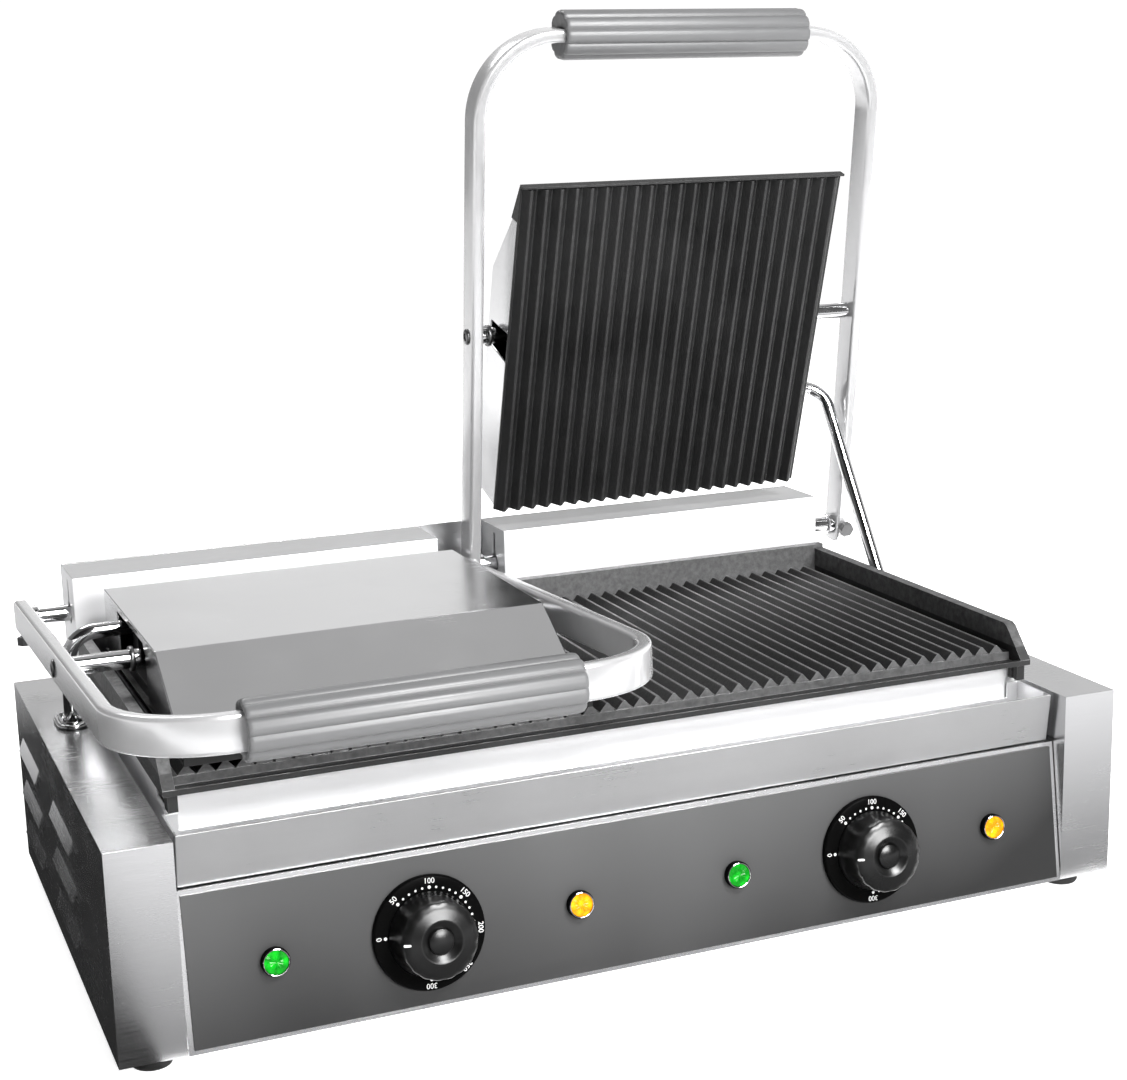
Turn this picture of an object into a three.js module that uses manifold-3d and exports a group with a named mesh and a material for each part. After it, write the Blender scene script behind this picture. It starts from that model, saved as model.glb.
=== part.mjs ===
// Double contact grill (panini press): one ribbed cast-iron base plate, two ribbed upper plates on
// U-shaped chrome arms, spring-balanced at the rear hinge. Units are millimetres, +Z is up, +X is to
// the right seen from the front, and the front faces -Y. The origin is centred under the grill, on
// the surface that its feet stand on.
import * as THREE from 'three';
import { mergeVertices } from 'three/addons/utils/BufferGeometryUtils.js';
import Module from 'manifold-3d';

const wasm = await Module();
wasm.setup();

// ---------- driving dimensions ----------
const GAP = 0.3; // clearance kept between pieces that touch
const SHEET = 1.5; // sheet steel of the casings and covers

const WIDTH = 570; // overall width over the two side casings
const CASING = { width: 33, depth: 308, height: 109 };
const LOUVRE = { centres: [-22, 97], rows: [26, 51, 77], length: 66, height: 7.5, reach: 3 };
const FOOT = { radius: 10.5, height: 9.5, insetX: 19, insetY: 20 };

const BODY_HALF = WIDTH / 2 - CASING.width; // inner faces of the side casings
const BODY = { half: 248, front: -110.5, rear: 121, top: 120, chamfer: 9 };
const REAR = { half: 250, front: 125.3, back: 169.2, top: 175.3 };
const LEG_SLOT = 22.3; // half width of the space between the two hinge housings

const FASCIA = { bottomY: -154.5, topY: -143, height: 80, shelf: 29 };
const TRAY = { half: 249.2, bottom: 80.6, top: 108.3, frontLow: -140.7, frontHigh: -144.3, back: -112 };

const PLATE = { half: 249.8, front: -122.8, rear: 121.2, bottom: 120.3, top: 126 };
const PLATE_WALL = { thick: 6.3, top: 142, rearTop: 144.5, slopeLength: 15 };
const RIB = { pitch: 9.8, height: 4.4, crest: 1.4 };
const LOWER_RIBS = 49;
const UPPER_RIBS = 22;

const HINGE = { y: 144.6, z: 150.5, radius: 5 };
const ARM = { x: 141.5, half: 135.5, reach: 333.9, tip: 11, bend: 50, thick: 8, wide: 19 };
const ARM_PITCH = THREE.MathUtils.degToRad(3.3); // the closed arm rises towards its grip
const GRIP = { half: 82.3, radius: 15, lobes: 10 };

const ROD = { reach: 151.7, radius: 5.15 };
const UPPER = { x: 128.1, half: 108.5, rodToFace: 28.5, centre: 2.6, flange: 6, castTop: 15.4, noseRun: 23.9 };
const COVER = { top: 42, slantRun: 65.5, inset: 1, skirt: 6.5 };

const CONDUIT = { x: 265.5, y: 50, z: 162, radius: 4.3, wall: 1, bend: 16, length: 163 };
const GROMMET = { y: 56, middle: 112, width: 11, length: 22, wall: 1.5, flange: 4, lip: 112.8 };

const DIAL = { x: 127.5, up: 39, ring: 30, knob: 22, reach: 24, spindle: 3 };
const LAMPS = { x: [-206.3, -45.5, 45.5, 206.3], up: 39, radius: 7.2 };

// rest pose: the left grill is closed and the right one stands open
const OPEN_ANGLE = THREE.MathUtils.degToRad(79.4);
const TILT_PER_OPEN = 6.6 / 79.4; // the upper plate leans on its rod as its arm rises
const CONDUIT_PER_OPEN = 32.72 / 79.4; // the conduit swings to stay in line with its grommet

const SIDES = [
  { name: 'left', sign: -1, open: 0 },
  { name: 'right', sign: 1, open: OPEN_ANGLE },
];

// ---------- materials ----------
function metal(color, roughness, metalness = 1) {
  return new THREE.MeshStandardMaterial({ color, roughness, metalness });
}
const stainless = metal(0xc9cbcc, 0.3);
const brushed = metal(0xb4b7b9, 0.38);
const galvanised = metal(0x9a9ea1, 0.5);
const chrome = metal(0xd9dbdd, 0.1);
const castIron = metal(0x2c2c2d, 0.6, 0.6);
const heaterSteel = metal(0x5b5450, 0.45);
const springSteel = metal(0x6d6f72, 0.35);
const blackRubber = metal(0x151515, 0.85, 0);
const greyPlastic = metal(0x84878a, 0.5, 0);
const blackPlastic = metal(0x17181a, 0.3, 0);
const charcoalPanel = metal(0x3a3d41, 0.35, 0.2);
const ceramic = metal(0xd8d3c8, 0.6, 0);
const greenLens = metal(0x1f8a3b, 0.2, 0);
const amberLens = metal(0xe08a1e, 0.2, 0);

// ---------- solids ----------
function solid(geometry) {
  const bare = geometry.clone();
  bare.deleteAttribute('normal');
  bare.deleteAttribute('uv');
  const merged = mergeVertices(bare, 1e-4);
  const vertProperties = new Float32Array(merged.attributes.position.array);
  const triVerts = new Uint32Array(merged.index.array);
  return new wasm.Manifold(new wasm.Mesh({ numProp: 3, vertProperties, triVerts }));
}

function toGeometry(shape) {
  const mesh = shape.getMesh();
  const geometry = new THREE.BufferGeometry();
  geometry.setAttribute('position', new THREE.BufferAttribute(mesh.vertProperties, 3));
  geometry.setIndex(new THREE.BufferAttribute(mesh.triVerts, 1));
  const faceted = geometry.toNonIndexed();
  faceted.computeVertexNormals();
  return faceted;
}

function boxGeometry(x, y, z) {
  const size = [x, y, z].map(([low, high]) => Math.abs(high - low));
  const middle = [x, y, z].map(([low, high]) => (low + high) / 2);
  return new THREE.BoxGeometry(...size).translate(...middle);
}
const box = (x, y, z) => solid(boxGeometry(x, y, z));

// outline points are [y, z]; the prism runs along X
function prismX(outline, [low, high]) {
  const shape = outline instanceof THREE.Shape ? outline : polygon(outline);
  const geometry = new THREE.ExtrudeGeometry(shape, {
    depth: Math.abs(high - low),
    bevelEnabled: false,
    curveSegments: 3,
  });
  const turn = new THREE.Matrix4().makeBasis(
    new THREE.Vector3(0, 1, 0),
    new THREE.Vector3(0, 0, 1),
    new THREE.Vector3(1, 0, 0),
  );
  return solid(geometry.applyMatrix4(turn).translate(Math.min(low, high), 0, 0));
}

// outline points are [x, z]; the prism runs along Y
function prismY(outline, [low, high], curveSegments = 3) {
  const shape = outline instanceof THREE.Shape ? outline : polygon(outline);
  const depth = Math.abs(high - low);
  const geometry = new THREE.ExtrudeGeometry(shape, { depth, bevelEnabled: false, curveSegments });
  return solid(geometry.rotateX(Math.PI / 2).translate(0, Math.max(low, high), 0));
}

// outline points are [x, y]; the prism runs along Z
function prismZ(outline, [low, high], curveSegments = 3) {
  const shape = outline instanceof THREE.Shape ? outline : polygon(outline);
  const depth = Math.abs(high - low);
  const geometry = new THREE.ExtrudeGeometry(shape, { depth, bevelEnabled: false, curveSegments });
  return solid(geometry.translate(0, 0, Math.min(low, high)));
}

function polygon(points) {
  return new THREE.Shape(points.map(([a, b]) => new THREE.Vector2(a, b)));
}

// obround outline: width across, length along the second axis
function obround(width, length, centre = [0, 0]) {
  const radius = width / 2;
  const straight = length / 2 - radius;
  const shape = new THREE.Shape();
  shape.absarc(centre[0], centre[1] + straight, radius, 0, Math.PI, false);
  shape.absarc(centre[0], centre[1] - straight, radius, Math.PI, 2 * Math.PI, false);
  return shape;
}

// turned piece along X: each step is [x start, x end, radius]
function turnedX(steps, segments = 14) {
  const parts = steps.map(([from, to, radius]) => {
    const length = Math.abs(to - from);
    const geometry = new THREE.CylinderGeometry(radius, radius, length, segments);
    return solid(geometry.rotateZ(Math.PI / 2).translate((from + to) / 2, 0, 0));
  });
  return parts.reduce((whole, next) => whole.add(next));
}

function cylinder(radius, [low, high], segments = 20, topRadius = radius) {
  const geometry = new THREE.CylinderGeometry(topRadius, radius, high - low, segments);
  return solid(geometry.rotateX(Math.PI / 2).translate(0, 0, (low + high) / 2));
}

// round piece along Y between two depths
function cylinderY(radius, [low, high], segments = 20, frontRadius = radius) {
  const geometry = new THREE.CylinderGeometry(radius, frontRadius, high - low, segments);
  return solid(geometry.translate(0, (low + high) / 2, 0));
}

// bent bar or tube centreline: one step along each straight run, several round each corner
class BentPath extends THREE.Curve {
  constructor(points, radius, cornerSteps) {
    super();
    const along = points[1].clone().sub(points[0]).normalize();
    this.knots = [{ point: points[0], tangent: along }];
    for (let i = 1; i < points.length - 1; i += 1) {
      this.addCorner(points[i - 1], points[i], points[i + 1], radius, cornerSteps);
    }
    const last = this.knots[this.knots.length - 1];
    this.knots.push({ point: points[points.length - 1], tangent: last.tangent });
  }

  addCorner(before, corner, after, radius, steps) {
    const back = before.clone().sub(corner).normalize();
    const ahead = after.clone().sub(corner).normalize();
    const half = back.angleTo(ahead) / 2;
    const centre = corner.clone().addScaledVector(back.clone().add(ahead).normalize(), radius / Math.sin(half));
    const spoke = corner.clone().addScaledVector(back, radius / Math.tan(half)).sub(centre);
    const axis = back.clone().negate().cross(ahead).normalize();
    const turn = Math.PI - 2 * half;
    for (let step = 0; step <= steps; step += 1) {
      const angle = (turn * step) / steps;
      const point = spoke.clone().applyAxisAngle(axis, angle).add(centre);
      this.knots.push({ point, tangent: back.clone().negate().applyAxisAngle(axis, angle) });
    }
  }

  knotAt(u) {
    return this.knots[Math.round(u * (this.knots.length - 1))];
  }

  getPointAt(u) {
    return this.knotAt(u).point.clone();
  }

  getTangentAt(u) {
    return this.knotAt(u).tangent.clone();
  }
}

function circleShape(radius, segments, holeRadius = 0) {
  const ring = (r) => Array.from({ length: segments }, (_, i) => {
    const angle = (2 * Math.PI * i) / segments;
    return new THREE.Vector2(r * Math.cos(angle), r * Math.sin(angle));
  });
  const shape = new THREE.Shape(ring(radius));
  if (holeRadius > 0) shape.holes.push(new THREE.Path(ring(holeRadius)));
  return shape;
}

function sweep(shape, extrudePath, steps = extrudePath.knots.length - 1) {
  return new THREE.ExtrudeGeometry(shape, { steps, extrudePath, bevelEnabled: false, curveSegments: 2 });
}

// ---------- assembly helpers ----------
const press = new THREE.Group();

function part(parent, name, shape, material) {
  const geometry = shape instanceof THREE.BufferGeometry ? shape : toGeometry(shape);
  const mesh = new THREE.Mesh(geometry, material);
  mesh.name = name;
  parent.add(mesh);
  return mesh;
}

function groupIn(parent, x, y, z, turnX = 0) {
  const group = new THREE.Group();
  group.position.set(x, y, z);
  group.rotation.x = turnX;
  parent.add(group);
  return group;
}

// ---------- side casings with louvres, feet and conduit grommets ----------
function grommetOutline(grow) {
  return obround(GROMMET.width + 2 * grow, GROMMET.length + 2 * grow, [0, GROMMET.y]);
}

function sideCasing(sign) {
  const outer = sign * (WIDTH / 2);
  const inner = sign * BODY_HALF;
  const depth = CASING.depth / 2;
  const shell = box([inner, outer], [-depth, depth], [0, CASING.height]).subtract(
    box(
      [inner + sign * SHEET, outer - sign * SHEET],
      [SHEET - depth, depth - SHEET],
      [-1, CASING.height - SHEET],
    ),
  );
  const opening = prismZ(grommetOutline(GROMMET.wall + GAP), [CASING.height - 3, CASING.height + 1]);
  let casing = shell.subtract(opening.translate([sign * CONDUIT.x, 0, 0]));
  for (const y of LOUVRE.centres) {
    for (const z of LOUVRE.rows) {
      casing = pressedLouvre(casing, sign, [y - LOUVRE.length / 2, y + LOUVRE.length / 2], z);
    }
  }
  return casing;
}

// a slot in the outer wall under a hood that is pressed out of the same sheet
function pressedLouvre(casing, sign, alongY, z) {
  const wall = sign * (WIDTH / 2);
  const half = LOUVRE.height / 2;
  const lip = wall + sign * LOUVRE.reach;
  const slot = box([wall - sign * 3, wall + sign], alongY, [z - half, z + half - 0.8]);
  const hood = [
    [wall - sign * SHEET, z + half - 1],
    [wall, z + half + 0.4],
    [lip, z - half],
    [lip - sign * 1.1, z - half],
  ];
  return casing.subtract(slot).add(prismY(hood, alongY));
}

function grommet() {
  const neckBottom = CASING.height - SHEET - 2;
  const neck = prismZ(grommetOutline(GROMMET.wall), [neckBottom, GROMMET.lip]);
  const flange = prismZ(grommetOutline(GROMMET.flange), [CASING.height + GAP, CASING.height + 3]);
  return neck.add(flange).subtract(prismZ(grommetOutline(0), [neckBottom - 1, GROMMET.lip + 1]));
}

for (const side of SIDES) {
  part(press, `${side.name}_side_casing`, sideCasing(side.sign), stainless);
  const ring = part(press, `${side.name}_conduit_grommet`, grommet(), chrome);
  ring.position.x = side.sign * CONDUIT.x;
  for (const [end, endSign] of [['front', -1], ['rear', 1]]) {
    const foot = cylinder(FOOT.radius, [-FOOT.height, -GAP], 24, FOOT.radius - 2);
    const mesh = part(press, `${side.name}_${end}_foot`, foot, blackRubber);
    const footX = side.sign * (WIDTH / 2 - FOOT.insetX);
    mesh.position.set(footX, endSign * (CASING.depth / 2 - FOOT.insetY), 0);
  }
}

// ---------- base pan, rear panel and the inner body that carries the base plate ----------
function basePan() {
  const half = REAR.half - SHEET - GAP;
  const rear = REAR.back - 2 * SHEET;
  let pan = box([-half, half], [-149, rear], [0, SHEET]);
  pan = pan.add(box([-half, half], [-149, -149 + SHEET], [0, 14]));
  pan = pan.add(box([-half, half], [rear - SHEET, rear], [0, 14]));
  for (const x of [-200, -150, -100, -50, 0, 50, 100, 150, 200]) {
    pan = pan.subtract(box([x - 15, x + 15], [-20, -14], [-1, SHEET + 1]));
    pan = pan.subtract(box([x - 15, x + 15], [40, 46], [-1, SHEET + 1]));
  }
  return pan;
}

const GLAND = { x: 190, z: 40, radius: 9 };

function rearPanel() {
  let panel = box([-REAR.half, REAR.half], [REAR.back - SHEET, REAR.back], [0, REAR.top]);
  for (let i = 0; i < 12; i += 1) {
    const x = -120 + i * 20;
    panel = panel.subtract(box([x, x + 6], [REAR.back - 5, REAR.back + 1], [50, 90]));
  }
  for (const { sign } of SIDES) {
    const x = [sign * (REAR.half - SHEET), sign * REAR.half];
    panel = panel.add(box(x, [BODY.rear + 6, REAR.back], [0, CASING.height + 2]));
  }
  const glandHole = cylinderY(GLAND.radius + GAP, [REAR.back - 5, REAR.back + 1]);
  return panel.subtract(glandHole.translate([GLAND.x, 0, GLAND.z]));
}

function innerBody() {
  const tall = [SHEET + GAP, BODY.top];
  const outer = box([-BODY.half, BODY.half], [BODY.front, BODY.rear], tall);
  const inner = box([SHEET - BODY.half, BODY.half - SHEET], [BODY.front + SHEET, BODY.rear - SHEET], [-1, 200]);
  let body = outer.subtract(inner);
  for (const { sign } of SIDES) {
    const corner = [
      [sign * (BODY.half + 1), BODY.top + 1],
      [sign * (BODY.half - BODY.chamfer - 1), BODY.top + 1],
      [sign * (BODY.half + 1), BODY.top - BODY.chamfer - 1],
    ];
    body = body.subtract(prismY(corner, [BODY.front - 1, BODY.front + 14]));
  }
  return body;
}

part(press, 'base_pan', basePan(), galvanised);
part(press, 'rear_panel', rearPanel(), stainless);
part(press, 'inner_body', innerBody(), stainless);

const gland = cylinderY(GLAND.radius, [REAR.back - 8, REAR.back + GAP])
  .add(cylinderY(GLAND.radius + 4, [REAR.back + GAP, REAR.back + 4], 6))
  .add(cylinderY(GLAND.radius, [REAR.back + 4, REAR.back + 12], 20, GLAND.radius - 2))
  .subtract(cylinderY(4.5, [REAR.back - 9, REAR.back + 13], 12));
part(press, 'cord_gland', gland, blackPlastic).position.set(GLAND.x, 0, GLAND.z);

const terminals = box([-30, 30], [-12, 12], [0, 18]);
const terminalBlock = [-20, -6.7, 6.7, 20].reduce(
  (block, x) => block.subtract(box([x - 4, x + 4], [-8, 8], [10, 19])),
  terminals,
);
part(press, 'terminal_block', terminalBlock, ceramic).position.set(150, 146, SHEET + GAP);

// ---------- leaning front: fascia, dark control overlay, dials, thermostats and lamps ----------
const LEAN = Math.atan2(FASCIA.topY - FASCIA.bottomY, FASCIA.height);
const FACE = Math.hypot(FASCIA.topY - FASCIA.bottomY, FASCIA.height);
const controls = groupIn(press, 0, FASCIA.bottomY, 0, -LEAN);

function frontHoles(shape, dialRadius, lampRadius) {
  let cut = shape;
  for (const { sign } of SIDES) {
    cut = cut.subtract(cylinderY(dialRadius, [-8, 8], 12).translate([sign * DIAL.x, 0, DIAL.up]));
  }
  for (const x of LAMPS.x) {
    cut = cut.subtract(cylinderY(lampRadius, [-8, 8], 12).translate([x, 0, LAMPS.up]));
  }
  return cut;
}

// the fascia is one bent sheet: leaning face, a shelf under the drip tray and a return at the bottom
function fascia() {
  const half = BODY_HALF - 0.5;
  const leaning = frontHoles(box([-half, half], [0, SHEET], [0, FACE]), 5.6, 5.3);
  const shelfFrom = FASCIA.topY + 0.1;
  const placed = leaning.rotate([THREE.MathUtils.radToDeg(-LEAN), 0, 0]).translate([0, FASCIA.bottomY, 0]);
  const shelf = box([-half, half], [shelfFrom, shelfFrom + FASCIA.shelf], [FASCIA.height - SHEET, FASCIA.height]);
  const toe = box([-half, half], [FASCIA.bottomY + 0.5, FASCIA.bottomY + 5], [0.1, SHEET]);
  return placed.add(shelf).add(toe);
}
part(press, 'front_fascia', fascia(), stainless);

const overlayHalf = BODY_HALF - 3.2;
const overlay = frontHoles(box([-overlayHalf, overlayHalf], [-1.1, -GAP], [2.4, FACE - 2.4]), 5.6, 5.3);
part(controls, 'control_overlay', overlay, charcoalPanel);

function dialRing() {
  const ring = cylinderY(DIAL.ring, [-4.4, -1.1 - GAP], 36, DIAL.ring - 1.5);
  return ring.subtract(cylinderY(DIAL.spindle + 2.6, [-6, 0], 12));
}

function thermostat() {
  return box([-18, 18], [SHEET + GAP, 28], [-20, 20])
    .add(cylinderY(5.2, [-2.5, SHEET + 1], 12))
    .add(box([-12, 12], [28, 31], [-3, 3]))
    .subtract(cylinderY(DIAL.spindle + GAP, [-4, 14], 10));
}

function knobOutline() {
  const points = Array.from({ length: 48 }, (_, i) => {
    const angle = (2 * Math.PI * i) / 48;
    const radius = DIAL.knob - 0.8 + 0.8 * Math.cos(12 * angle);
    return new THREE.Vector2(radius * Math.cos(angle), radius * Math.sin(angle));
  });
  return new THREE.Shape(points);
}

function knob() {
  const front = -DIAL.reach;
  const skirt = cylinderY(DIAL.knob + 2, [-8, -4.4 - GAP], 32);
  const cup = cylinderY(DIAL.knob - 5, [front - 1, front + 1.6], 24, DIAL.knob - 3.4);
  const spindle = cylinderY(DIAL.spindle, [-7, 13], 10);
  return prismY(knobOutline(), [front, -7.5]).add(skirt).subtract(cup).add(spindle);
}

for (const side of SIDES) {
  const x = side.sign * DIAL.x;
  part(controls, `${side.name}_dial_ring`, dialRing(), blackPlastic).position.set(x, 0, DIAL.up);
  part(controls, `${side.name}_thermostat`, thermostat(), galvanised).position.set(x, 0, DIAL.up);
  part(controls, `${side.name}_knob`, knob(), blackPlastic).position.set(x, 0, DIAL.up);
}

const LAMP_NAMES = ['left_power_lamp', 'left_heat_lamp', 'right_power_lamp', 'right_heat_lamp'];
LAMP_NAMES.forEach((name, i) => {
  const dome = cylinderY(LAMPS.radius, [-3.4, -1.1 - GAP], 14)
    .add(cylinderY(LAMPS.radius - 1.4, [-5.2, -3.3], 14, LAMPS.radius - 3))
    .add(cylinderY(5, [-2, 20], 12));
  const lens = name.includes('power') ? greenLens : amberLens;
  part(controls, name, dome, lens).position.set(LAMPS.x[i], 0, LAMPS.up);
});

// ---------- drip tray that draws out to the front ----------
function dripTray() {
  const wall = 1.2;
  const outer = [
    [TRAY.frontLow, TRAY.bottom],
    [TRAY.back, TRAY.bottom],
    [TRAY.back, TRAY.top],
    [TRAY.frontHigh, TRAY.top],
  ];
  const inner = [
    [TRAY.frontLow + wall, TRAY.bottom + wall],
    [TRAY.back - wall, TRAY.bottom + wall],
    [TRAY.back - wall, TRAY.top + 1],
    [TRAY.frontHigh + wall, TRAY.top + 1],
  ];
  const hollow = prismX(inner, [wall - TRAY.half, TRAY.half - wall]);
  const backCut = box([8 - TRAY.half, TRAY.half - 8], [TRAY.back - 3, TRAY.back + 1], [TRAY.top - 9, TRAY.top + 1]);
  return prismX(outer, [-TRAY.half, TRAY.half]).subtract(hollow).subtract(backCut);
}
part(press, 'drip_tray', dripTray(), brushed);

// ---------- ribbed cast plates ----------
// closed rib outline in [x, z]: crests at +height above the base line, ribs centred on x = 0
function ribOutline(count, base, height, root) {
  const points = [];
  const start = (-(count - 1) / 2) * RIB.pitch;
  for (let i = 0; i < count; i += 1) {
    const x = start + i * RIB.pitch;
    points.push([x - RIB.pitch / 2 + 0.4, base]);
    points.push([x - RIB.crest / 2, base + height]);
    points.push([x + RIB.crest / 2, base + height]);
    points.push([x + RIB.pitch / 2 - 0.4, base]);
  }
  const left = points[0][0];
  const right = points[points.length - 1][0];
  return [[left, root], ...points, [right, root]];
}

function counterClockwise(points) {
  return THREE.ShapeUtils.area(points.map(([a, b]) => new THREE.Vector2(a, b))) > 0 ? points : points.reverse();
}

function lowerPlate() {
  const { half, front, rear, bottom, top } = PLATE;
  const { thick, top: wallTop, rearTop, slopeLength } = PLATE_WALL;
  const lipTop = top - 2.6;
  let plate = box([-half, half], [front, rear], [bottom, top]);
  plate = plate.subtract(box([-half - 1, half + 1], [front - 1, front + 3.5], [lipTop, top + 1]));
  plate = plate.subtract(box([thick - half, half - thick], [front + 3, front + 12], [top - 4.6, top + 1]));
  plate = plate.add(box([-half, half], [rear - thick, rear], [top - 1, rearTop]));
  plate = plate.subtract(box([-LEG_SLOT, LEG_SLOT], [rear - thick - 1, rear + 1], [wallTop - 2, rearTop + 1]));
  const sideProfile = [
    [front, lipTop - 1],
    [rear, lipTop - 1],
    [rear, wallTop],
    [front + slopeLength + 3, wallTop],
    [front + slopeLength, wallTop - 1.5],
    [front, lipTop],
  ];
  for (const { sign } of SIDES) {
    plate = plate.add(prismX(sideProfile, [sign * (half - thick), sign * half]));
    const spout = box([sign * 242.3, sign * 247.3], [front + 2, front + 11], [bottom - 9, bottom + 1]);
    const drain = cylinder(1.8, [bottom - 10, top + 1], 12).translate([sign * 241.6, front + 6.5, 0]);
    plate = plate.add(spout).subtract(drain);
  }
  const ribs = counterClockwise(ribOutline(LOWER_RIBS, top, RIB.height, top - 1.5));
  return plate.add(prismY(ribs, [front + 13, rear - thick + 1]));
}
part(press, 'lower_grill_plate', lowerPlate(), castIron);

// tubular heater bent back and forth in a flat plane; its two cold ends point to the rear
function heaterPath(halfWidth, front, rear, runs) {
  const points = [new THREE.Vector3(-halfWidth, rear + 14, 0)];
  for (let i = 0; i < runs; i += 1) {
    const x = -halfWidth + (2 * halfWidth * i) / (runs - 1);
    const ahead = i % 2 === 0 ? front : rear;
    points.push(new THREE.Vector3(x, ahead, 0));
    const next = -halfWidth + (2 * halfWidth * (i + 1)) / (runs - 1);
    if (i < runs - 1) points.push(new THREE.Vector3(next, ahead, 0));
  }
  points.push(new THREE.Vector3(halfWidth, rear + 14, 0));
  return points;
}

function heater(halfWidth, front, rear, runs, radius) {
  const points = heaterPath(halfWidth, front, rear, runs);
  const bend = Math.min(14, halfWidth / (runs - 1) - 0.5);
  return sweep(circleShape(radius, 6), new BentPath(points, bend, 4));
}

for (const side of SIDES) {
  const element = heater(96, -88, 84, 4, 3.6);
  part(press, `${side.name}_lower_element`, element, heaterSteel).position.set(side.sign * 124, 0, PLATE.bottom - 3.6 - GAP);
}

// ---------- hinge housings with the counterbalance springs ----------
function hingeHousing(sign) {
  const x = [sign * LEG_SLOT, sign * REAR.half];
  const y = [REAR.front, REAR.back - SHEET - GAP];
  const z = [CASING.height + 3, REAR.top];
  const shell = box(x, y, z).subtract(
    box(
      [x[0] + sign * SHEET, x[1] - sign * SHEET],
      [y[0] + SHEET, y[1] - SHEET],
      [z[0] - 1, z[1] - SHEET],
    ),
  );
  const across = [sign * (LEG_SLOT - 2), sign * (REAR.half + 2)];
  const bore = turnedX([[...across, HINGE.radius + 1.5]]);
  const keySlot = box(across, [-2, 2], [0, 20]);
  return shell.subtract(bore.add(keySlot).translate([0, HINGE.y, HINGE.z]));
}

class SpringCurve extends THREE.Curve {
  constructor(radius, length, turns) {
    super();
    this.radius = radius;
    this.length = length;
    this.turns = turns;
  }

  getPoint(t) {
    const angle = 2 * Math.PI * this.turns * t;
    return new THREE.Vector3(this.length * t, this.radius * Math.cos(angle), this.radius * Math.sin(angle));
  }
}

for (const side of SIDES) {
  part(press, `${side.name}_hinge_housing`, hingeHousing(side.sign), stainless);
  const spring = sweep(circleShape(1.7, 5), new SpringCurve(9.5, 42, 7), 56);
  const mesh = part(press, `${side.name}_balance_spring`, spring, springSteel);
  mesh.position.set(side.sign * 180 - 21, HINGE.y, HINGE.z);
}

// ---------- arm, grip, rod, upper plate, cover and conduit of one side ----------
// rod axis of a closed plate, measured from the hinge
const ROD_Y = -ROD.reach * Math.cos(ARM_PITCH);
const ROD_Z = ROD.reach * Math.sin(ARM_PITCH);

// where the conduit enters the cover, measured from the rod axis of the closed plate
function conduitEntry() {
  return [CONDUIT.y - HINGE.y - ROD_Y, CONDUIT.z - HINGE.z - ROD_Z];
}

function armPath() {
  const { half, reach, tip } = ARM;
  const corners = [
    [-half, tip],
    [-half, -reach],
    [half, -reach],
    [half, tip],
  ];
  return new BentPath(corners.map(([x, y]) => new THREE.Vector3(x, y, 0)), ARM.bend, 9);
}

// flat bar with rounded edges, bent to a U; both ends are rounded off around the hinge
function armShape() {
  const edge = ARM.thick / 2;
  const straight = ARM.wide / 2 - edge;
  const section = new THREE.Shape();
  section.absarc(straight, 0, edge, -Math.PI / 2, Math.PI / 2, false);
  section.absarc(-straight, 0, edge, Math.PI / 2, (3 * Math.PI) / 2, false);
  const radius = ARM.wide / 2 + 0.1;
  const trim = new THREE.Shape();
  trim.absarc(ARM.tip - radius, 0, radius, -Math.PI / 2, Math.PI / 2, false);
  trim.lineTo(-ARM.reach - 20, radius);
  trim.lineTo(-ARM.reach - 20, -radius);
  const ends = prismX(trim, [-ARM.half - ARM.thick, ARM.half + ARM.thick]);
  return solid(sweep(section, armPath())).intersect(ends);
}

function gripShape() {
  const outline = Array.from({ length: 40 }, (_, i) => {
    const angle = (2 * Math.PI * i) / 40;
    const radius = GRIP.radius - 0.7 + 0.7 * Math.cos(GRIP.lobes * angle);
    return [radius * Math.cos(angle), radius * Math.sin(angle)];
  });
  const hole = obround(ARM.thick + 1, ARM.wide + 1);
  return prismX(outline, [-GRIP.half, GRIP.half]).subtract(prismX(hole, [-GRIP.half - 1, GRIP.half + 1]));
}

function upperPlate(sign) {
  const { half, rodToFace, centre, flange, castTop, noseRun } = UPPER;
  const front = centre - half;
  const rear = centre + half;
  const face = -rodToFace;
  const nose = [
    [front, face + RIB.height],
    [front, face + 3.5 + RIB.height / 2],
    [front + noseRun, face + castTop],
    [front + noseRun, face + RIB.height],
  ];
  let plate = prismX(nose, [-half, half]);
  plate = plate.add(box([-half, half], [front + 5, rear], [face + RIB.height, face + flange]));
  const core = half - COVER.inset - SHEET - 0.6;
  plate = plate.add(box([-core, core], [front + noseRun, rear - 4], [face + flange - 1, face + castTop - 2.4]));
  const ribs = ribOutline(UPPER_RIBS, face + RIB.height, -RIB.height, face + RIB.height + 1);
  plate = plate.add(prismY(counterClockwise(ribs), [front + 2.2, rear]));
  const edge = [
    [front, face],
    [front + 1.4, face],
    [front + 2.4, face + RIB.height + 1],
    [front, face + RIB.height + 1],
  ];
  plate = plate.add(prismX(edge, [-half, half]));
  for (const end of [-1, 1]) {
    plate = plate.add(box([end * 78, end * 92], [-11, 11], [face + castTop - 4, ROD.radius + 4]));
  }
  const rodBore = turnedX([[-half - 1, half + 1, ROD.radius + GAP + 0.1]]);
  const [entryY, entryZ] = conduitEntry();
  const bracket = box([sign * 96, sign * 100], [entryY - 8, entryY + 8], [face + castTop - 4, entryZ + 7]);
  const conduitBore = turnedX([[sign * 90, sign * 106, CONDUIT.radius + GAP]]);
  return plate.subtract(rodBore).add(bracket.subtract(conduitBore.translate([0, entryY, entryZ])));
}

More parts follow.
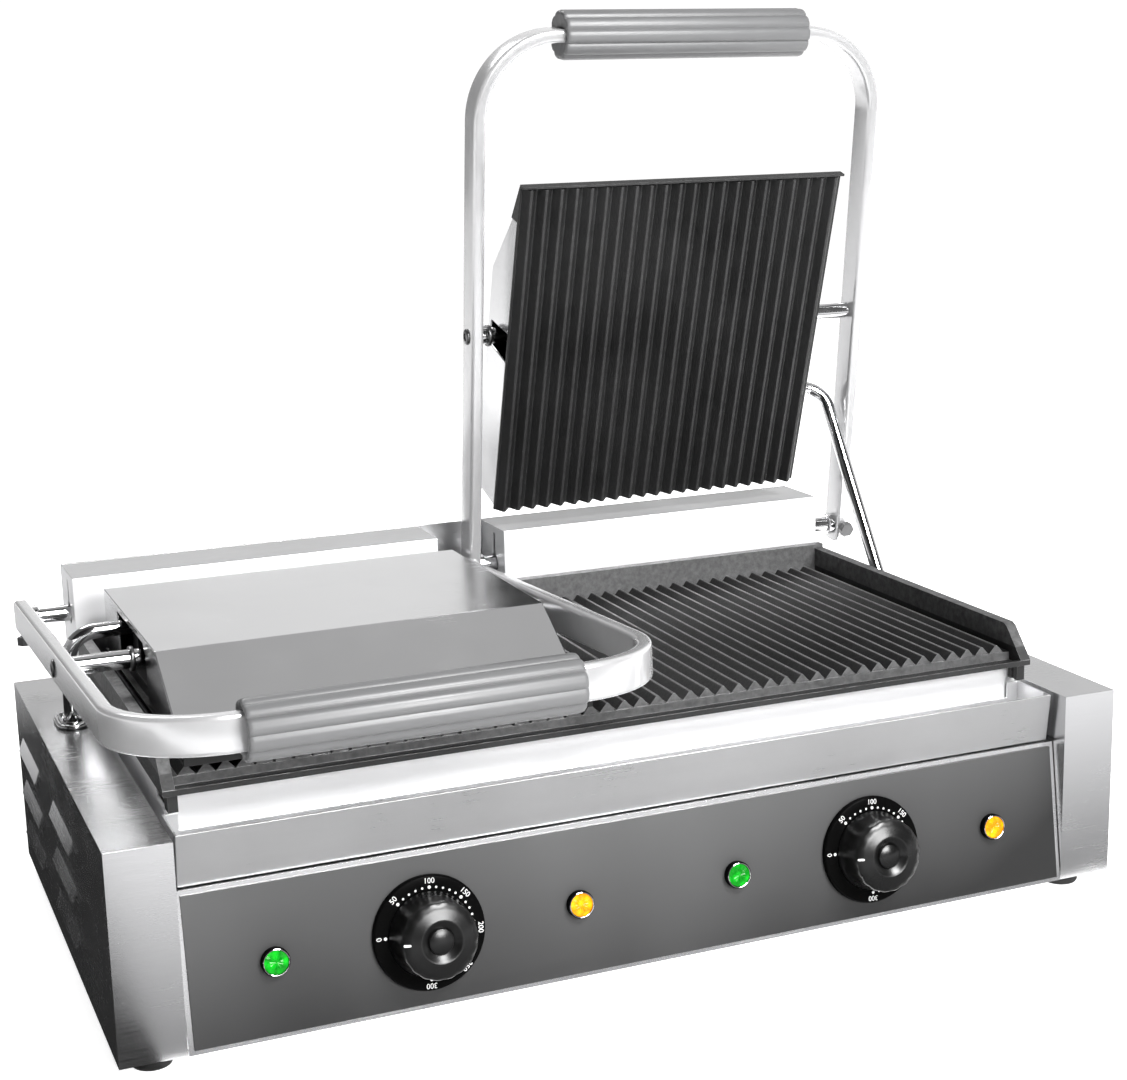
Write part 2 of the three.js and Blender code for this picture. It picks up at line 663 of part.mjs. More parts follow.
// side outline of the cover in [y, z]; its inside is the same outline moved in by the sheet thickness
// and carried on below the skirt
function coverOutline(inset) {
  const { rodToFace, centre, half, castTop, noseRun } = UPPER;
  const face = -rodToFace;
  const front = centre - half;
  const rear = centre + half - COVER.inset;
  const lean = (COVER.slantRun - noseRun) / (COVER.top - castTop);
  const slide = inset * Math.hypot(1, lean);
  const bottom = face + COVER.skirt - 2 * inset;
  return [
    [front + noseRun + slide - 5, face + castTop + GAP - 5 / lean],
    [front + noseRun + slide - 5, bottom],
    [rear - inset, bottom],
    [rear - 1.2 - inset, face + COVER.top - inset],
    [front + COVER.slantRun + slide - inset * lean, face + COVER.top - inset],
  ];
}

function coverShape(sign) {
  const half = UPPER.half - COVER.inset;
  const face = -UPPER.rodToFace;
  const nose = UPPER.centre - UPPER.half + UPPER.noseRun;
  const hollow = prismX(coverOutline(SHEET), [SHEET - half, half - SHEET]);
  const ahead = box([-half - 1, half + 1], [nose - 30, nose + 0.4], [face, face + COVER.top]);
  const cover = prismX(coverOutline(0), [-half, half]).subtract(hollow).subtract(ahead);
  const rodNotch = [[-9, face + 2], [10, face + 2], [8, face + COVER.top - 5], [-7, face + COVER.top - 5]];
  const innerWall = [sign * -(half + 1), sign * -(half - SHEET - 1)];
  const outerWall = [sign * (half + 1), sign * (half - SHEET - 1)];
  const wideNotch = [
    [-14, face + 2],
    [67, face + 2],
    [67, face + COVER.top - 4],
    [-8, face + COVER.top - 4],
    [-14, face + COVER.top - 10],
  ];
  return cover.subtract(prismX(rodNotch, innerWall)).subtract(prismX(wideNotch, outerWall));
}

function rodShape(plateShift, sign) {
  const end = ARM.half - ARM.thick / 2 - GAP;
  const collarOuter = plateShift + sign * (UPPER.half + 4);
  const collarInner = plateShift - sign * (UPPER.half + 4);
  return turnedX(
    [
      [-end, end, ROD.radius],
      [collarOuter - 1.2, collarOuter + 1.2, ROD.radius + 1.6],
      [collarInner - 1.2, collarInner + 1.2, ROD.radius + 1.6],
    ],
    14,
  );
}

function hingeShaft() {
  const end = ARM.half - ARM.thick / 2 - GAP;
  return turnedX([[-end, end, HINGE.radius], [-end, -end + 4, HINGE.radius + 2], [end - 4, end, HINGE.radius + 2]]);
}

function clampScrew() {
  const below = -ARM.wide / 2;
  return cylinder(2.5, [below - 2, below + 0.01 - GAP], 8).add(cylinder(5, [below - 7, below - 2], 6));
}

function rodScrew(sign) {
  const face = sign * (ARM.half + ARM.thick / 2);
  const head = turnedX([[face + sign * GAP, face + sign * 1.4, 5]], 12);
  const slot = box([face + sign * 0.8, face + sign * 3], [-6, 6], [-0.6, 0.6]);
  return head.subtract(slot);
}

// the conduit leaves the cover level, turns down and drops through its grommet
function conduitShape(sign, plateShift) {
  const outward = sign * (CONDUIT.x - ARM.x) - plateShift;
  const points = [
    new THREE.Vector3(sign * (UPPER.half - 14), 0, 0),
    new THREE.Vector3(outward, 0, 0),
    new THREE.Vector3(outward, 0, -CONDUIT.length),
  ];
  const tube = circleShape(CONDUIT.radius, 10, CONDUIT.radius - CONDUIT.wall);
  return sweep(tube, new BentPath(points, CONDUIT.bend, 6));
}

for (const side of SIDES) {
  const { sign, name, open } = side;
  const arm = groupIn(press, sign * ARM.x, HINGE.y, HINGE.z, -open);
  const pitched = groupIn(arm, 0, 0, 0, -ARM_PITCH);
  part(pitched, `${name}_arm`, armShape(), chrome);
  part(pitched, `${name}_hinge_shaft`, hingeShaft(), chrome);
  part(pitched, `${name}_grip`, gripShape(), greyPlastic).position.set(0, -ARM.reach, 0);
  for (const [end, endSign] of [['outer', sign], ['inner', -sign]]) {
    part(pitched, `${name}_${end}_clamp_screw`, clampScrew(), springSteel).position.x = endSign * ARM.half;
    part(pitched, `${name}_${end}_rod_screw`, rodScrew(endSign), springSteel).position.y = -ROD.reach;
  }

  const plateShift = sign * (UPPER.x - ARM.x);
  part(arm, `${name}_plate_rod`, rodShape(plateShift, sign), chrome).position.set(0, ROD_Y, ROD_Z);

  const upper = groupIn(arm, plateShift, ROD_Y, ROD_Z, open * TILT_PER_OPEN);
  part(upper, `${name}_upper_grill_plate`, upperPlate(sign), castIron);
  part(upper, `${name}_upper_cover`, coverShape(sign), stainless);
  const element = heater(66, -66, 66, 4, 3.2);
  const heaterZ = UPPER.castTop - 2.4 + 3.2 + GAP - UPPER.rodToFace;
  part(upper, `${name}_upper_element`, element, heaterSteel).position.set(0, UPPER.centre + 4, heaterZ);

  const [entryY, entryZ] = conduitEntry();
  const leanIn = Math.atan2(GROMMET.y - CONDUIT.y, CONDUIT.z - GROMMET.middle);
  const swivel = groupIn(upper, 0, entryY, entryZ, open * CONDUIT_PER_OPEN + leanIn);
  part(swivel, `${name}_conduit`, conduitShape(sign, plateShift), chrome);
}

// ---------- origin: centred under the grill on the plane of its feet ----------
press.updateMatrixWorld(true);
const bounds = new THREE.Box3().setFromObject(press);
const middle = bounds.getCenter(new THREE.Vector3());
press.position.set(-middle.x, -middle.y, -bounds.min.z);

export default press;
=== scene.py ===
import math

import bpy
from mathutils import Matrix, Vector


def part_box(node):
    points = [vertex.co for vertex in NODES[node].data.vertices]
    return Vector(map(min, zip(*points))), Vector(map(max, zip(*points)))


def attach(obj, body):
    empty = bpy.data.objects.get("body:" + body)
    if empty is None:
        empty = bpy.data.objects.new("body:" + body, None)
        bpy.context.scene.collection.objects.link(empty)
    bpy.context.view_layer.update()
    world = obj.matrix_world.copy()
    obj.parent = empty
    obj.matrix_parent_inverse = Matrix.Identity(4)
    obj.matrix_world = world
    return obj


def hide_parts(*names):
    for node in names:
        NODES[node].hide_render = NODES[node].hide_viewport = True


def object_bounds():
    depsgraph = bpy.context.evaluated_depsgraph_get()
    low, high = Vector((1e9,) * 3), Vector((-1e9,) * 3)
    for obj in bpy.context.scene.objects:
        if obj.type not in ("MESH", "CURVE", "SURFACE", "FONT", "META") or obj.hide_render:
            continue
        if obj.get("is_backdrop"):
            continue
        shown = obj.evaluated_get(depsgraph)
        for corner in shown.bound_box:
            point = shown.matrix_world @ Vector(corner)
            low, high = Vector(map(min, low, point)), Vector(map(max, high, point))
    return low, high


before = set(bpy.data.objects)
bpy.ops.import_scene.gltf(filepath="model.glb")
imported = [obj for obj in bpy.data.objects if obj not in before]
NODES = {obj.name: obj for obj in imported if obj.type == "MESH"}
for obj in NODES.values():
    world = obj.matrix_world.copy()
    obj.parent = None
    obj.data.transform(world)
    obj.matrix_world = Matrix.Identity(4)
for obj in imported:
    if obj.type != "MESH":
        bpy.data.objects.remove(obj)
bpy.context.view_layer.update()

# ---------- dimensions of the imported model, in millimetres in its own frame (LOWER_CREST and
# CREST_DEPTH, which materials read, are in metres) ----------
SHIFT_Y = 11.67
FOOT = 9.5
HINGE = (144.6 + SHIFT_Y, 150.5 + FOOT)
ARM = {"x": 141.5, "half": 135.5, "reach": 333.9, "tip": 11.0, "bend": 50.0, "thick": 8.0, "wide": 19.0}
ARM_PITCH = math.radians(3.3)
ROD_REACH = 151.7
UPPER_X = 128.1
UPPER_HALF = 108.5
ENTRY = (50 - 144.6 + ROD_REACH * math.cos(ARM_PITCH), 162 - 150.5 - ROD_REACH * math.sin(ARM_PITCH))
CONDUIT = {"x": 265.5, "radius": 4.3, "bend": 16.0, "length": 163.0}
OPEN = math.radians(79.4)
TILT = 6.6 / 79.4
SWING = 32.72 / 79.4
LEAN = math.atan2(-143 + 154.5, 80)
KNOB_X = 127.5
DIAL_UP = 39.0
ZERO_AT = 176.7
GROMMET = {"y": 56 + SHIFT_Y, "width": 11, "length": 22}
CASING_TOP = 109 + FOOT
UPPER_CREST = -28.5
LOWER_CREST = 0.1399
CREST_DEPTH = 0.0006
SIDES = (("left", -1, 0.0), ("right", 1, OPEN))


def at(x=0.0, y=0.0, z=0.0):
    return Matrix.Translation((x, y, z))


def turn(angle, axis="X"):
    return Matrix.Rotation(angle, 4, axis)


def arm_frame(sign, opened):
    return at(sign * ARM["x"], *HINGE) @ turn(-opened)


def bar_frame(sign, opened):
    return arm_frame(sign, opened) @ turn(-ARM_PITCH)


def upper_frame(sign, opened):
    shift = sign * (UPPER_X - ARM["x"])
    rod = (-ROD_REACH * math.cos(ARM_PITCH), ROD_REACH * math.sin(ARM_PITCH))
    return arm_frame(sign, opened) @ at(shift, *rod) @ turn(opened * TILT)


def conduit_frame(sign, opened):
    lean_in = math.atan2(6, 50)
    return upper_frame(sign, opened) @ at(0, *ENTRY) @ turn(opened * SWING + lean_in)


CONTROLS = at(0, -154.5 + SHIFT_Y, FOOT) @ turn(-LEAN)


# ---------- mesh building ----------
def soften(obj, width, segments=2, angle=32):
    bevel = obj.modifiers.new("edges", "BEVEL")
    bevel.width = width / 1000
    bevel.segments = segments
    bevel.limit_method = "ANGLE"
    bevel.angle_limit = math.radians(angle)
    bevel.miter_outer = "MITER_ARC"
    bevel.harden_normals = True


def add_piece(name, verts, faces, matrix, body, material, stands_for=(), edge=0.0, segments=2, sharp=40):
    mesh = bpy.data.meshes.new(name)
    mesh.from_pydata([(matrix @ Vector(v)) / 1000 for v in verts], [], faces)
    mesh.update()
    mesh.polygons.foreach_set("use_smooth", [True] * len(mesh.polygons))
    mesh.set_sharp_from_angle(angle=math.radians(sharp))
    mesh.materials.append(material)
    obj = bpy.data.objects.new(name, mesh)
    bpy.context.scene.collection.objects.link(obj)
    if edge:
        soften(obj, edge, segments)
    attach(obj, body)
    if stands_for:
        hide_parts(*stands_for)
    return obj


def strips(rings, count, closed=False):
    """Quads between neighbouring rings of count points, with the points numbered ring by ring."""
    faces = []
    for k in range(rings if closed else rings - 1):
        a, b = k * count, (k + 1) % rings * count
        faces += [(a + i, a + (i + 1) % count, b + (i + 1) % count, b + i) for i in range(count)]
    return faces


class Shape:
    """Vertices and faces of one or more closed bodies."""

    def __init__(self):
        self.verts = []
        self.faces = []

    def add(self, verts, faces, matrix=None):
        base = len(self.verts)
        self.verts += [matrix @ Vector(v) if matrix else Vector(v) for v in verts]
        self.faces += [[base + i for i in face] for face in faces]
        return self

    def lathe(self, profile, matrix=None, count=48):
        """Turns a closed profile of (radius, height) about the local Y axis, height growing along -Y."""
        verts, rings = [], []
        for radius, height in profile:
            if radius < 1e-6:
                rings.append([len(verts)])
                verts.append((0, -height, 0))
                continue
            rings.append([len(verts) + i for i in range(count)])
            for i in range(count):
                angle = 2 * math.pi * i / count
                verts.append((radius * math.cos(angle), -height, radius * math.sin(angle)))
        faces = []
        closed = rings if len(rings[0]) == 1 else rings + [rings[0]]
        for low, high in zip(closed, closed[1:]):
            for i in range(count):
                j = (i + 1) % count
                if len(low) == 1 and len(high) == 1:
                    continue
                if len(low) == 1:
                    faces.append((low[0], high[j], high[i]))
                elif len(high) == 1:
                    faces.append((low[i], low[j], high[0]))
                else:
                    faces.append((low[i], low[j], high[j], high[i]))
        return self.add(verts, [tuple(reversed(f)) for f in faces], matrix)

    def prism(self, outline, low, high, axis="X", matrix=None):
        """Extrudes an anticlockwise outline along a local axis."""
        def spot(a, b, c):
            return {"X": (c, a, b), "Y": (a, c, b), "Z": (a, b, c)}[axis]
        count = len(outline)
        verts = [spot(a, b, low) for a, b in outline] + [spot(a, b, high) for a, b in outline]
        faces = [tuple(reversed(range(count))), tuple(range(count, 2 * count))]
        faces += [(i, (i + 1) % count, count + (i + 1) % count, count + i) for i in range(count)]
        if axis == "Y":
            faces = [tuple(reversed(f)) for f in faces]
        return self.add(verts, faces, matrix)

    def tube(self, path, outer, inner, up, matrix=None, count=28):
        """A hollow round tube with open, square-cut ends: an outer and an inner ring at each step."""
        verts, faces = [], []
        for point, tangent in path:
            side = tangent.cross(up).normalized()
            for radius in (outer, inner):
                for i in range(count):
                    angle = 2 * math.pi * i / count
                    verts.append(point + up * radius * math.cos(angle) + side * radius * math.sin(angle))
        for k in range(len(path) - 1):
            for ring, flip in ((0, False), (count, True)):
                for i in range(count):
                    j = (i + 1) % count
                    a, b = 2 * k * count + ring, 2 * (k + 1) * count + ring
                    face = (a + i, a + j, b + j, b + i)
                    faces.append(tuple(reversed(face)) if flip else face)
        for base, flip in ((0, True), (2 * (len(path) - 1) * count, False)):
            for i in range(count):
                j = (i + 1) % count
                face = (base + i, base + j, base + count + j, base + count + i)
                faces.append(tuple(reversed(face)) if flip else face)
        return self.add(verts, faces, matrix)

    def build(self, name, body, material, matrix=None, **options):
        return add_piece(name, self.verts, self.faces, matrix or Matrix(), body, material, **options)


def bent_path(points, radius, steps):
    """Straight runs joined by true arcs, as a list of (point, tangent)."""
    points = [Vector(p) for p in points]
    path = [(points[0], (points[1] - points[0]).normalized())]
    for before, corner, after in zip(points, points[1:], points[2:]):
        back, ahead = (before - corner).normalized(), (after - corner).normalized()
        half = back.angle(ahead) / 2
        centre = corner + (back + ahead).normalized() * radius / math.sin(half)
        spoke = corner + back * radius / math.tan(half) - centre
        axis = (-back).cross(ahead).normalized()
        for step in range(steps + 1):
            spin = Matrix.Rotation((math.pi - 2 * half) * step / steps, 3, axis)
            path.append((centre + spin @ spoke, spin @ -back))
    path.append((points[-1], path[-1][1]))
    return path


def rounded_rect(half_a, half_b, radius, steps=5):
    outline = []
    for quarter, (ca, cb) in enumerate(((1, 1), (-1, 1), (-1, -1), (1, -1))):
        for step in range(steps + 1):
            angle = math.pi / 2 * (quarter + step / steps)
            outline.append((ca * (half_a - radius) + radius * math.cos(angle),
                            cb * (half_b - radius) + radius * math.sin(angle)))
    return outline


def hexagon(radius):
    return [(radius * math.cos(math.pi * k / 3), radius * math.sin(math.pi * k / 3)) for k in range(6)]


def circle(radius, count=32):
    return [(radius * math.cos(2 * math.pi * i / count), radius * math.sin(2 * math.pi * i / count))
            for i in range(count)]


# ---------- materials ----------
class Surface:
    """A node material around one Principled shader."""

    def __init__(self, name, color, roughness, metallic=0.0, **sockets):
        self.material = bpy.data.materials.new(name)
        self.material.use_nodes = True
        self.tree = self.material.node_tree
        self.shader = self.tree.nodes["Principled BSDF"]
        self.shader.inputs["Base Color"].default_value = (*color, 1)
        self.shader.inputs["Roughness"].default_value = roughness
        self.shader.inputs["Metallic"].default_value = metallic
        for socket, value in sockets.items():
            self.shader.inputs[socket.replace("_", " ")].default_value = value
        self.coords = self.node("ShaderNodeTexCoord").outputs["Object"]

    def node(self, kind, **settings):
        made = self.tree.nodes.new(kind)
        for key, value in settings.items():
            setattr(made, key, value)
        return made

    def link(self, source, target):
        self.tree.links.new(source, target)

    def scaled(self, scale):
        mapping = self.node("ShaderNodeMapping")
        mapping.inputs["Scale"].default_value = scale
        self.link(self.coords, mapping.inputs["Vector"])
        return mapping.outputs["Vector"]

    def noise(self, vector, scale=1.0, detail=4.0, rough=0.55):
        noise = self.node("ShaderNodeTexNoise")
        noise.inputs["Scale"].default_value = scale
        noise.inputs["Detail"].default_value = detail
        noise.inputs["Roughness"].default_value = rough
        self.link(vector, noise.inputs["Vector"])
        return noise.outputs["Fac"]

    def remap(self, value, low, high, to_low, to_high):
        node = self.node("ShaderNodeMapRange")
        for socket, number in zip(("From Min", "From Max", "To Min", "To Max"), (low, high, to_low, to_high)):
            node.inputs[socket].default_value = number
        self.link(value, node.inputs["Value"])
        return node.outputs["Result"]

    def math(self, operation, a, b):
        node = self.node("ShaderNodeMath", operation=operation)
        for socket, value in zip(node.inputs, (a, b)):
            if isinstance(value, (int, float)):
                socket.default_value = value
            else:
                self.link(value, socket)
        return node.outputs[0]

    def tint(self, factor, dark, light):
        node = self.node("ShaderNodeMix", data_type="RGBA")
        self.link(factor, node.inputs["Factor"])
        node.inputs["A"].default_value = (*dark, 1)
        node.inputs["B"].default_value = (*light, 1)
        self.link(node.outputs["Result"], self.shader.inputs["Base Color"])
        return node

    def mix_factor(self, factor, a, b):
        node = self.node("ShaderNodeMix")
        self.link(factor, node.inputs["Factor"])
        self.link(a, node.inputs["A"])
        self.link(b, node.inputs["B"])
        return node.outputs["Result"]

    def bump(self, height, strength, distance=0.0005):
        node = self.node("ShaderNodeBump")
        node.inputs["Strength"].default_value = strength
        node.inputs["Distance"].default_value = distance
        self.link(height, node.inputs["Height"])
        if self.shader.inputs["Normal"].links:
            self.link(self.shader.inputs["Normal"].links[0].from_socket, node.inputs["Normal"])
        self.link(node.outputs["Normal"], self.shader.inputs["Normal"])

    def rough(self, value):
        self.link(value, self.shader.inputs["Roughness"])


def grey(level):
    return (level, level, level * 1.01)


def brushed(name, level, roughness, grain=0.05, smudge=0.05, spread=0.015, metallic=1.0, painted_shading=None):
    """Sheet steel with a fine grain along X, or along Y on faces that look sideways.

    The optional tuple (what, low, high, level) paints light and shade: the tone changes to that level where
    the face looks up or back, or where the place along an axis passes from low to high, as light would fall.
    """
    s = Surface(name, grey(level), roughness, metallic)
    along_x = s.noise(s.scaled((30, 1400, 1400)), 1.0, 5.0, 0.7)
    along_y = s.noise(s.scaled((1400, 30, 1400)), 1.0, 5.0, 0.7)
    parts = s.node("ShaderNodeSeparateXYZ")
    s.link(s.node("ShaderNodeNewGeometry").outputs["Normal"], parts.inputs[0])
    sideways = s.remap(s.math("ABSOLUTE", parts.outputs["X"], 0), 0.6, 0.75, 0, 1)
    lines = s.mix_factor(sideways, along_x, along_y)
    clouds = s.noise(s.scaled((1, 1, 1)), 18.0, 4.0, 0.55)
    rough = s.math("ADD", s.remap(lines, 0.3, 0.7, roughness - 0.03, roughness + 0.04),
                   s.remap(clouds, 0.35, 0.65, -smudge, smudge))
    s.rough(rough)
    tone = s.math("ADD", s.math("MULTIPLY", lines, 0.3), s.math("MULTIPLY", clouds, 0.7))
    # Painted light and shade: the tone steps to a set level by face direction or by place.
    if painted_shading:
        what, low, high, painted_level = painted_shading
        if what == "up":
            value = parts.outputs["Z"]
        elif what == "back":
            value = parts.outputs["Y"]
        else:
            place = s.node("ShaderNodeSeparateXYZ")
            s.link(s.coords, place.inputs[0])
            value = place.outputs[what]
        share = spread / abs(painted_level - level)
        change = s.remap(value, low, high, share, 1 - share)
        factor = s.math("ADD", change, s.remap(tone, 0.35, 0.65, -share, share))
        s.tint(factor, grey(level), grey(painted_level))
    else:
        s.tint(s.remap(tone, 0.35, 0.65, 0, 1), grey(level - spread), grey(level + spread))
    s.bump(lines, grain, 0.00003)
    return s.material


def chrome(name, level=0.86, roughness=0.07, metallic=1.0):
    s = Surface(name, grey(level), roughness, metallic)
    clouds = s.noise(s.scaled((1, 1, 1)), 60.0, 4.0, 0.6)
    s.rough(s.remap(clouds, 0.35, 0.7, roughness, roughness + 0.07))
    s.tint(clouds, grey(level - 0.05), grey(level + 0.03))
    return s.material


def cast_iron(name, across, crest, depth, front_light_share=0.0, crest_highlight_strength=0.6):
    """Seasoned cast iron with painted light: its rib tops are painted lighter as highlight lines, and faces
    that look forward are painted lighter, by a given share, as front light.

    The rib tops lie at crest along the direction across; the painted highlight fades out within depth below.
    """
    s = Surface(name, grey(0.02), 0.5, 0.35, Specular_IOR_Level=0.5)
    grain = s.noise(s.scaled((1, 1, 1)), 900.0, 5.0, 0.65)
    pits = s.noise(s.scaled((1, 1, 1)), 260.0, 3.0, 0.6)
    clouds = s.noise(s.scaled((1, 1, 1)), 18.0, 3.0, 0.55)
    dot = s.node("ShaderNodeVectorMath", operation="DOT_PRODUCT")
    s.link(s.coords, dot.inputs[0])
    dot.inputs[1].default_value = across
    # Painted highlight: rib tops within depth of the crest are painted lighter, mottled by the pits.
    crest_highlight = s.remap(dot.outputs["Value"], crest - depth, crest, 0, 1)
    painted_highlights = s.math("MULTIPLY", crest_highlight, s.remap(pits, 0.3, 0.7, 0.35 * crest_highlight_strength, crest_highlight_strength))
    # Painted front light: faces that look forward, behind the lip, are painted lighter by the given share.
    if front_light_share:
        facing = s.node("ShaderNodeVectorMath", operation="DOT_PRODUCT")
        s.link(s.node("ShaderNodeNewGeometry").outputs["Normal"], facing.inputs[0])
        facing.inputs[1].default_value = (0, -1, 0)
        place = s.node("ShaderNodeSeparateXYZ")
        s.link(s.coords, place.inputs[0])
        behind_lip = s.remap(place.outputs["Y"], -0.108, -0.103, 0.08, 1)
        painted_front_light = s.math("MULTIPLY", s.remap(facing.outputs["Value"], 0.55, 0.95, 0, front_light_share),
                        s.math("MULTIPLY", behind_lip, s.remap(pits, 0.3, 0.7, 0.5, 1.0)))
        painted_highlights = s.math("MAXIMUM", painted_highlights, painted_front_light)
    base = s.remap(clouds, 0.3, 0.7, 0.0, 0.06)
    s.tint(s.math("ADD", base, painted_highlights), grey(0.012), grey(0.2))
    s.rough(s.math("ADD", s.remap(grain, 0.3, 0.7, 0.36, 0.62), s.remap(clouds, 0.3, 0.7, -0.06, 0.06)))
    s.bump(pits, 0.35, 0.0004)
    s.bump(grain, 0.5, 0.00018)
    return s.material


def worn_edge(name, dark, light):
    """Painted highlight: iron painted lighter in broken lines along its edges, standing for the light its
    edges catch.
    """
    s = Surface(name, grey(light), 0.38, 0.6)
    highlight_breaks = s.noise(s.scaled((1, 1, 1)), 170.0, 4.0, 0.65)
    grain = s.noise(s.scaled((1, 1, 1)), 900.0, 4.0, 0.6)
    s.tint(s.remap(highlight_breaks, 0.35, 0.62, 0, 1), grey(dark), grey(light))
    s.rough(s.remap(grain, 0.3, 0.7, 0.3, 0.5))
    s.bump(grain, 0.4, 0.0001)
    return s.material


def plastic(name, color, roughness, grain=0.15, scale=1200.0, **sockets):
    s = Surface(name, color, roughness, 0.0, **sockets)
    fine = s.noise(s.scaled((1, 1, 1)), scale, 3.0, 0.5)
    clouds = s.noise(s.scaled((1, 1, 1)), 30.0, 3.0, 0.5)
    s.rough(s.remap(clouds, 0.3, 0.7, roughness - 0.04, roughness + 0.05))
    s.tint(clouds, tuple(c * 0.9 for c in color), tuple(min(1, c * 1.1) for c in color))
    s.bump(fine, grain, 0.00006)
    return s.material


def lens(name, dark, light, glow):
    s = Surface(name, light, 0.2, 0.0, Specular_IOR_Level=0.25)
    # Painted glints: facet-shaped cells make the lens colour and its glow lighter and darker, and also bump
    # the surface.
    facet_relief_and_glints = s.node("ShaderNodeTexVoronoi")
    facet_relief_and_glints.inputs["Scale"].default_value = 260.0
    s.link(s.coords, facet_relief_and_glints.inputs["Vector"])
    node = s.tint(s.remap(facet_relief_and_glints.outputs["Distance"], 0.1, 0.7, 1, 0), dark, light)
    s.link(node.outputs["Result"], s.shader.inputs["Emission Color"])
    s.shader.inputs["Emission Strength"].default_value = glow
    s.bump(facet_relief_and_glints.outputs["Distance"], 0.4, 0.0006)
    return s.material


def overlay_panel(name):
    """Dark printed sheet, fine-grained, with painted light: lighter towards its top edge and darker towards
    one end.
    """
    s = Surface(name, grey(0.1), 0.36, 0.15, Specular_IOR_Level=0.35)
    lines = s.noise(s.scaled((12, 1200, 1200)), 1.0, 4.0, 0.6)
    clouds = s.noise(s.scaled((1, 0.5, 0.5)), 7.0, 2.0, 0.5)
    spot = s.node("ShaderNodeSeparateXYZ")
    s.link(s.coords, spot.inputs[0])
    # Painted light: lighter towards the top edge and darker towards the +X end, as reflected light would make
    # it.
    up = s.remap(spot.outputs["Z"], 0.0105, 0.0895, 0.0, 0.55)
    along = s.remap(spot.outputs["X"], 0.0, 0.25, 0.1, -0.32)
    s.tint(s.math("ADD", s.math("ADD", up, along), s.remap(clouds, 0.3, 0.7, -0.1, 0.2)),
           grey(0.018), grey(0.105))
    s.rough(s.remap(lines, 0.3, 0.7, 0.32, 0.44))
    s.bump(lines, 0.08, 0.00006)
    return s.material


# Painted shade: faces that look up are darker (0.5) than the rest of the steel (0.84).
STEEL = brushed("brushed_steel", 0.84, 0.24, grain=0.03, smudge=0.03, painted_shading=("up", 0.6, 0.9, 0.5))
STEEL_COVER = brushed("cover_steel", 0.68, 0.2, grain=0.04, spread=0.01)
# Painted shade: faces that look up are darker (0.38) than the near-white front (0.95).
STEEL_HOUSING = brushed("housing_steel", 0.95, 0.36, grain=0.03, metallic=0.45, painted_shading=("up", 0.6, 0.9, 0.38))
# Painted shade: faces that look back are darker (0.3) than the near-white front (0.97).
STEEL_BODY = brushed("body_steel", 0.97, 0.38, grain=0.03, metallic=0.3, painted_shading=("back", 0.5, 0.9, 0.3))
STEEL_REAR = brushed("rear_steel", 0.42, 0.3, grain=0.04)
# Painted light: the tray is near-white (0.97) from y = -0.126 m back and darker grey (0.46) in front of that.
STEEL_TRAY = brushed("tray_steel", 0.46, 0.32, metallic=0.8, painted_shading=("Y", -0.1275, -0.126, 0.97))
ZINC = brushed("zinc_sheet", 0.55, 0.45, grain=0.05, smudge=0.1, spread=0.08)
CHROME = chrome("chrome", 0.72, 0.08)
CHROME_BAR = chrome("chrome_bar", 0.62, 0.16, 0.6)
DARK_STEEL = chrome("dark_steel", 0.2, 0.3)
HEATER = chrome("heater_tube", 0.22, 0.4)
RUBBER = plastic("foot_rubber", (0.008, 0.008, 0.008), 0.75, 0.5, 700.0)
GRIP = plastic("grip_plastic", (0.115, 0.116, 0.118), 0.36, 0.1, 1500.0)
GLOSS_BLACK = plastic("dial_black", (0.002, 0.002, 0.002), 0.25, 0.03, 900.0, Specular_IOR_Level=0.02)
KNOB_BLACK = plastic("knob_black", (0.002, 0.002, 0.002), 0.28, 0.03, 900.0, Specular_IOR_Level=0.6)
# Painted highlights for the plates' bevelled edges: brighter on the lower plate, faint on the upper ones.
EDGE_HIGHLIGHT_IRON = worn_edge("edge_highlight_iron", 0.05, 0.3)
FAINT_EDGE_HIGHLIGHT_IRON = worn_edge("faint_edge_highlight_iron", 0.02, 0.07)
WHITE_INK = plastic("white_ink", (0.6, 0.6, 0.6), 0.5)
CERAMIC = plastic("ceramic", (0.62, 0.59, 0.52), 0.6)
CASE = plastic("thermostat_case", (0.2, 0.17, 0.12), 0.5)
PANEL = overlay_panel("control_panel")
AMBER = lens("amber_lens", (0.5, 0.16, 0.0), (0.7, 0.36, 0.0), 0.3)
GREEN = lens("green_lens", (0.0, 0.14, 0.004), (0.002, 0.36, 0.01), 0.3)


def upper_plate_iron(side, sign, opened):
    matrix = upper_frame(sign, opened)
    outward = matrix.to_3x3() @ Vector((0, 0, -1))
    on_crest = (matrix @ Vector((0, 0, UPPER_CREST))) / 1000
    return cast_iron(f"{side}_plate_iron", tuple(outward), on_crest.dot(outward), CREST_DEPTH, crest_highlight_strength=0.12)


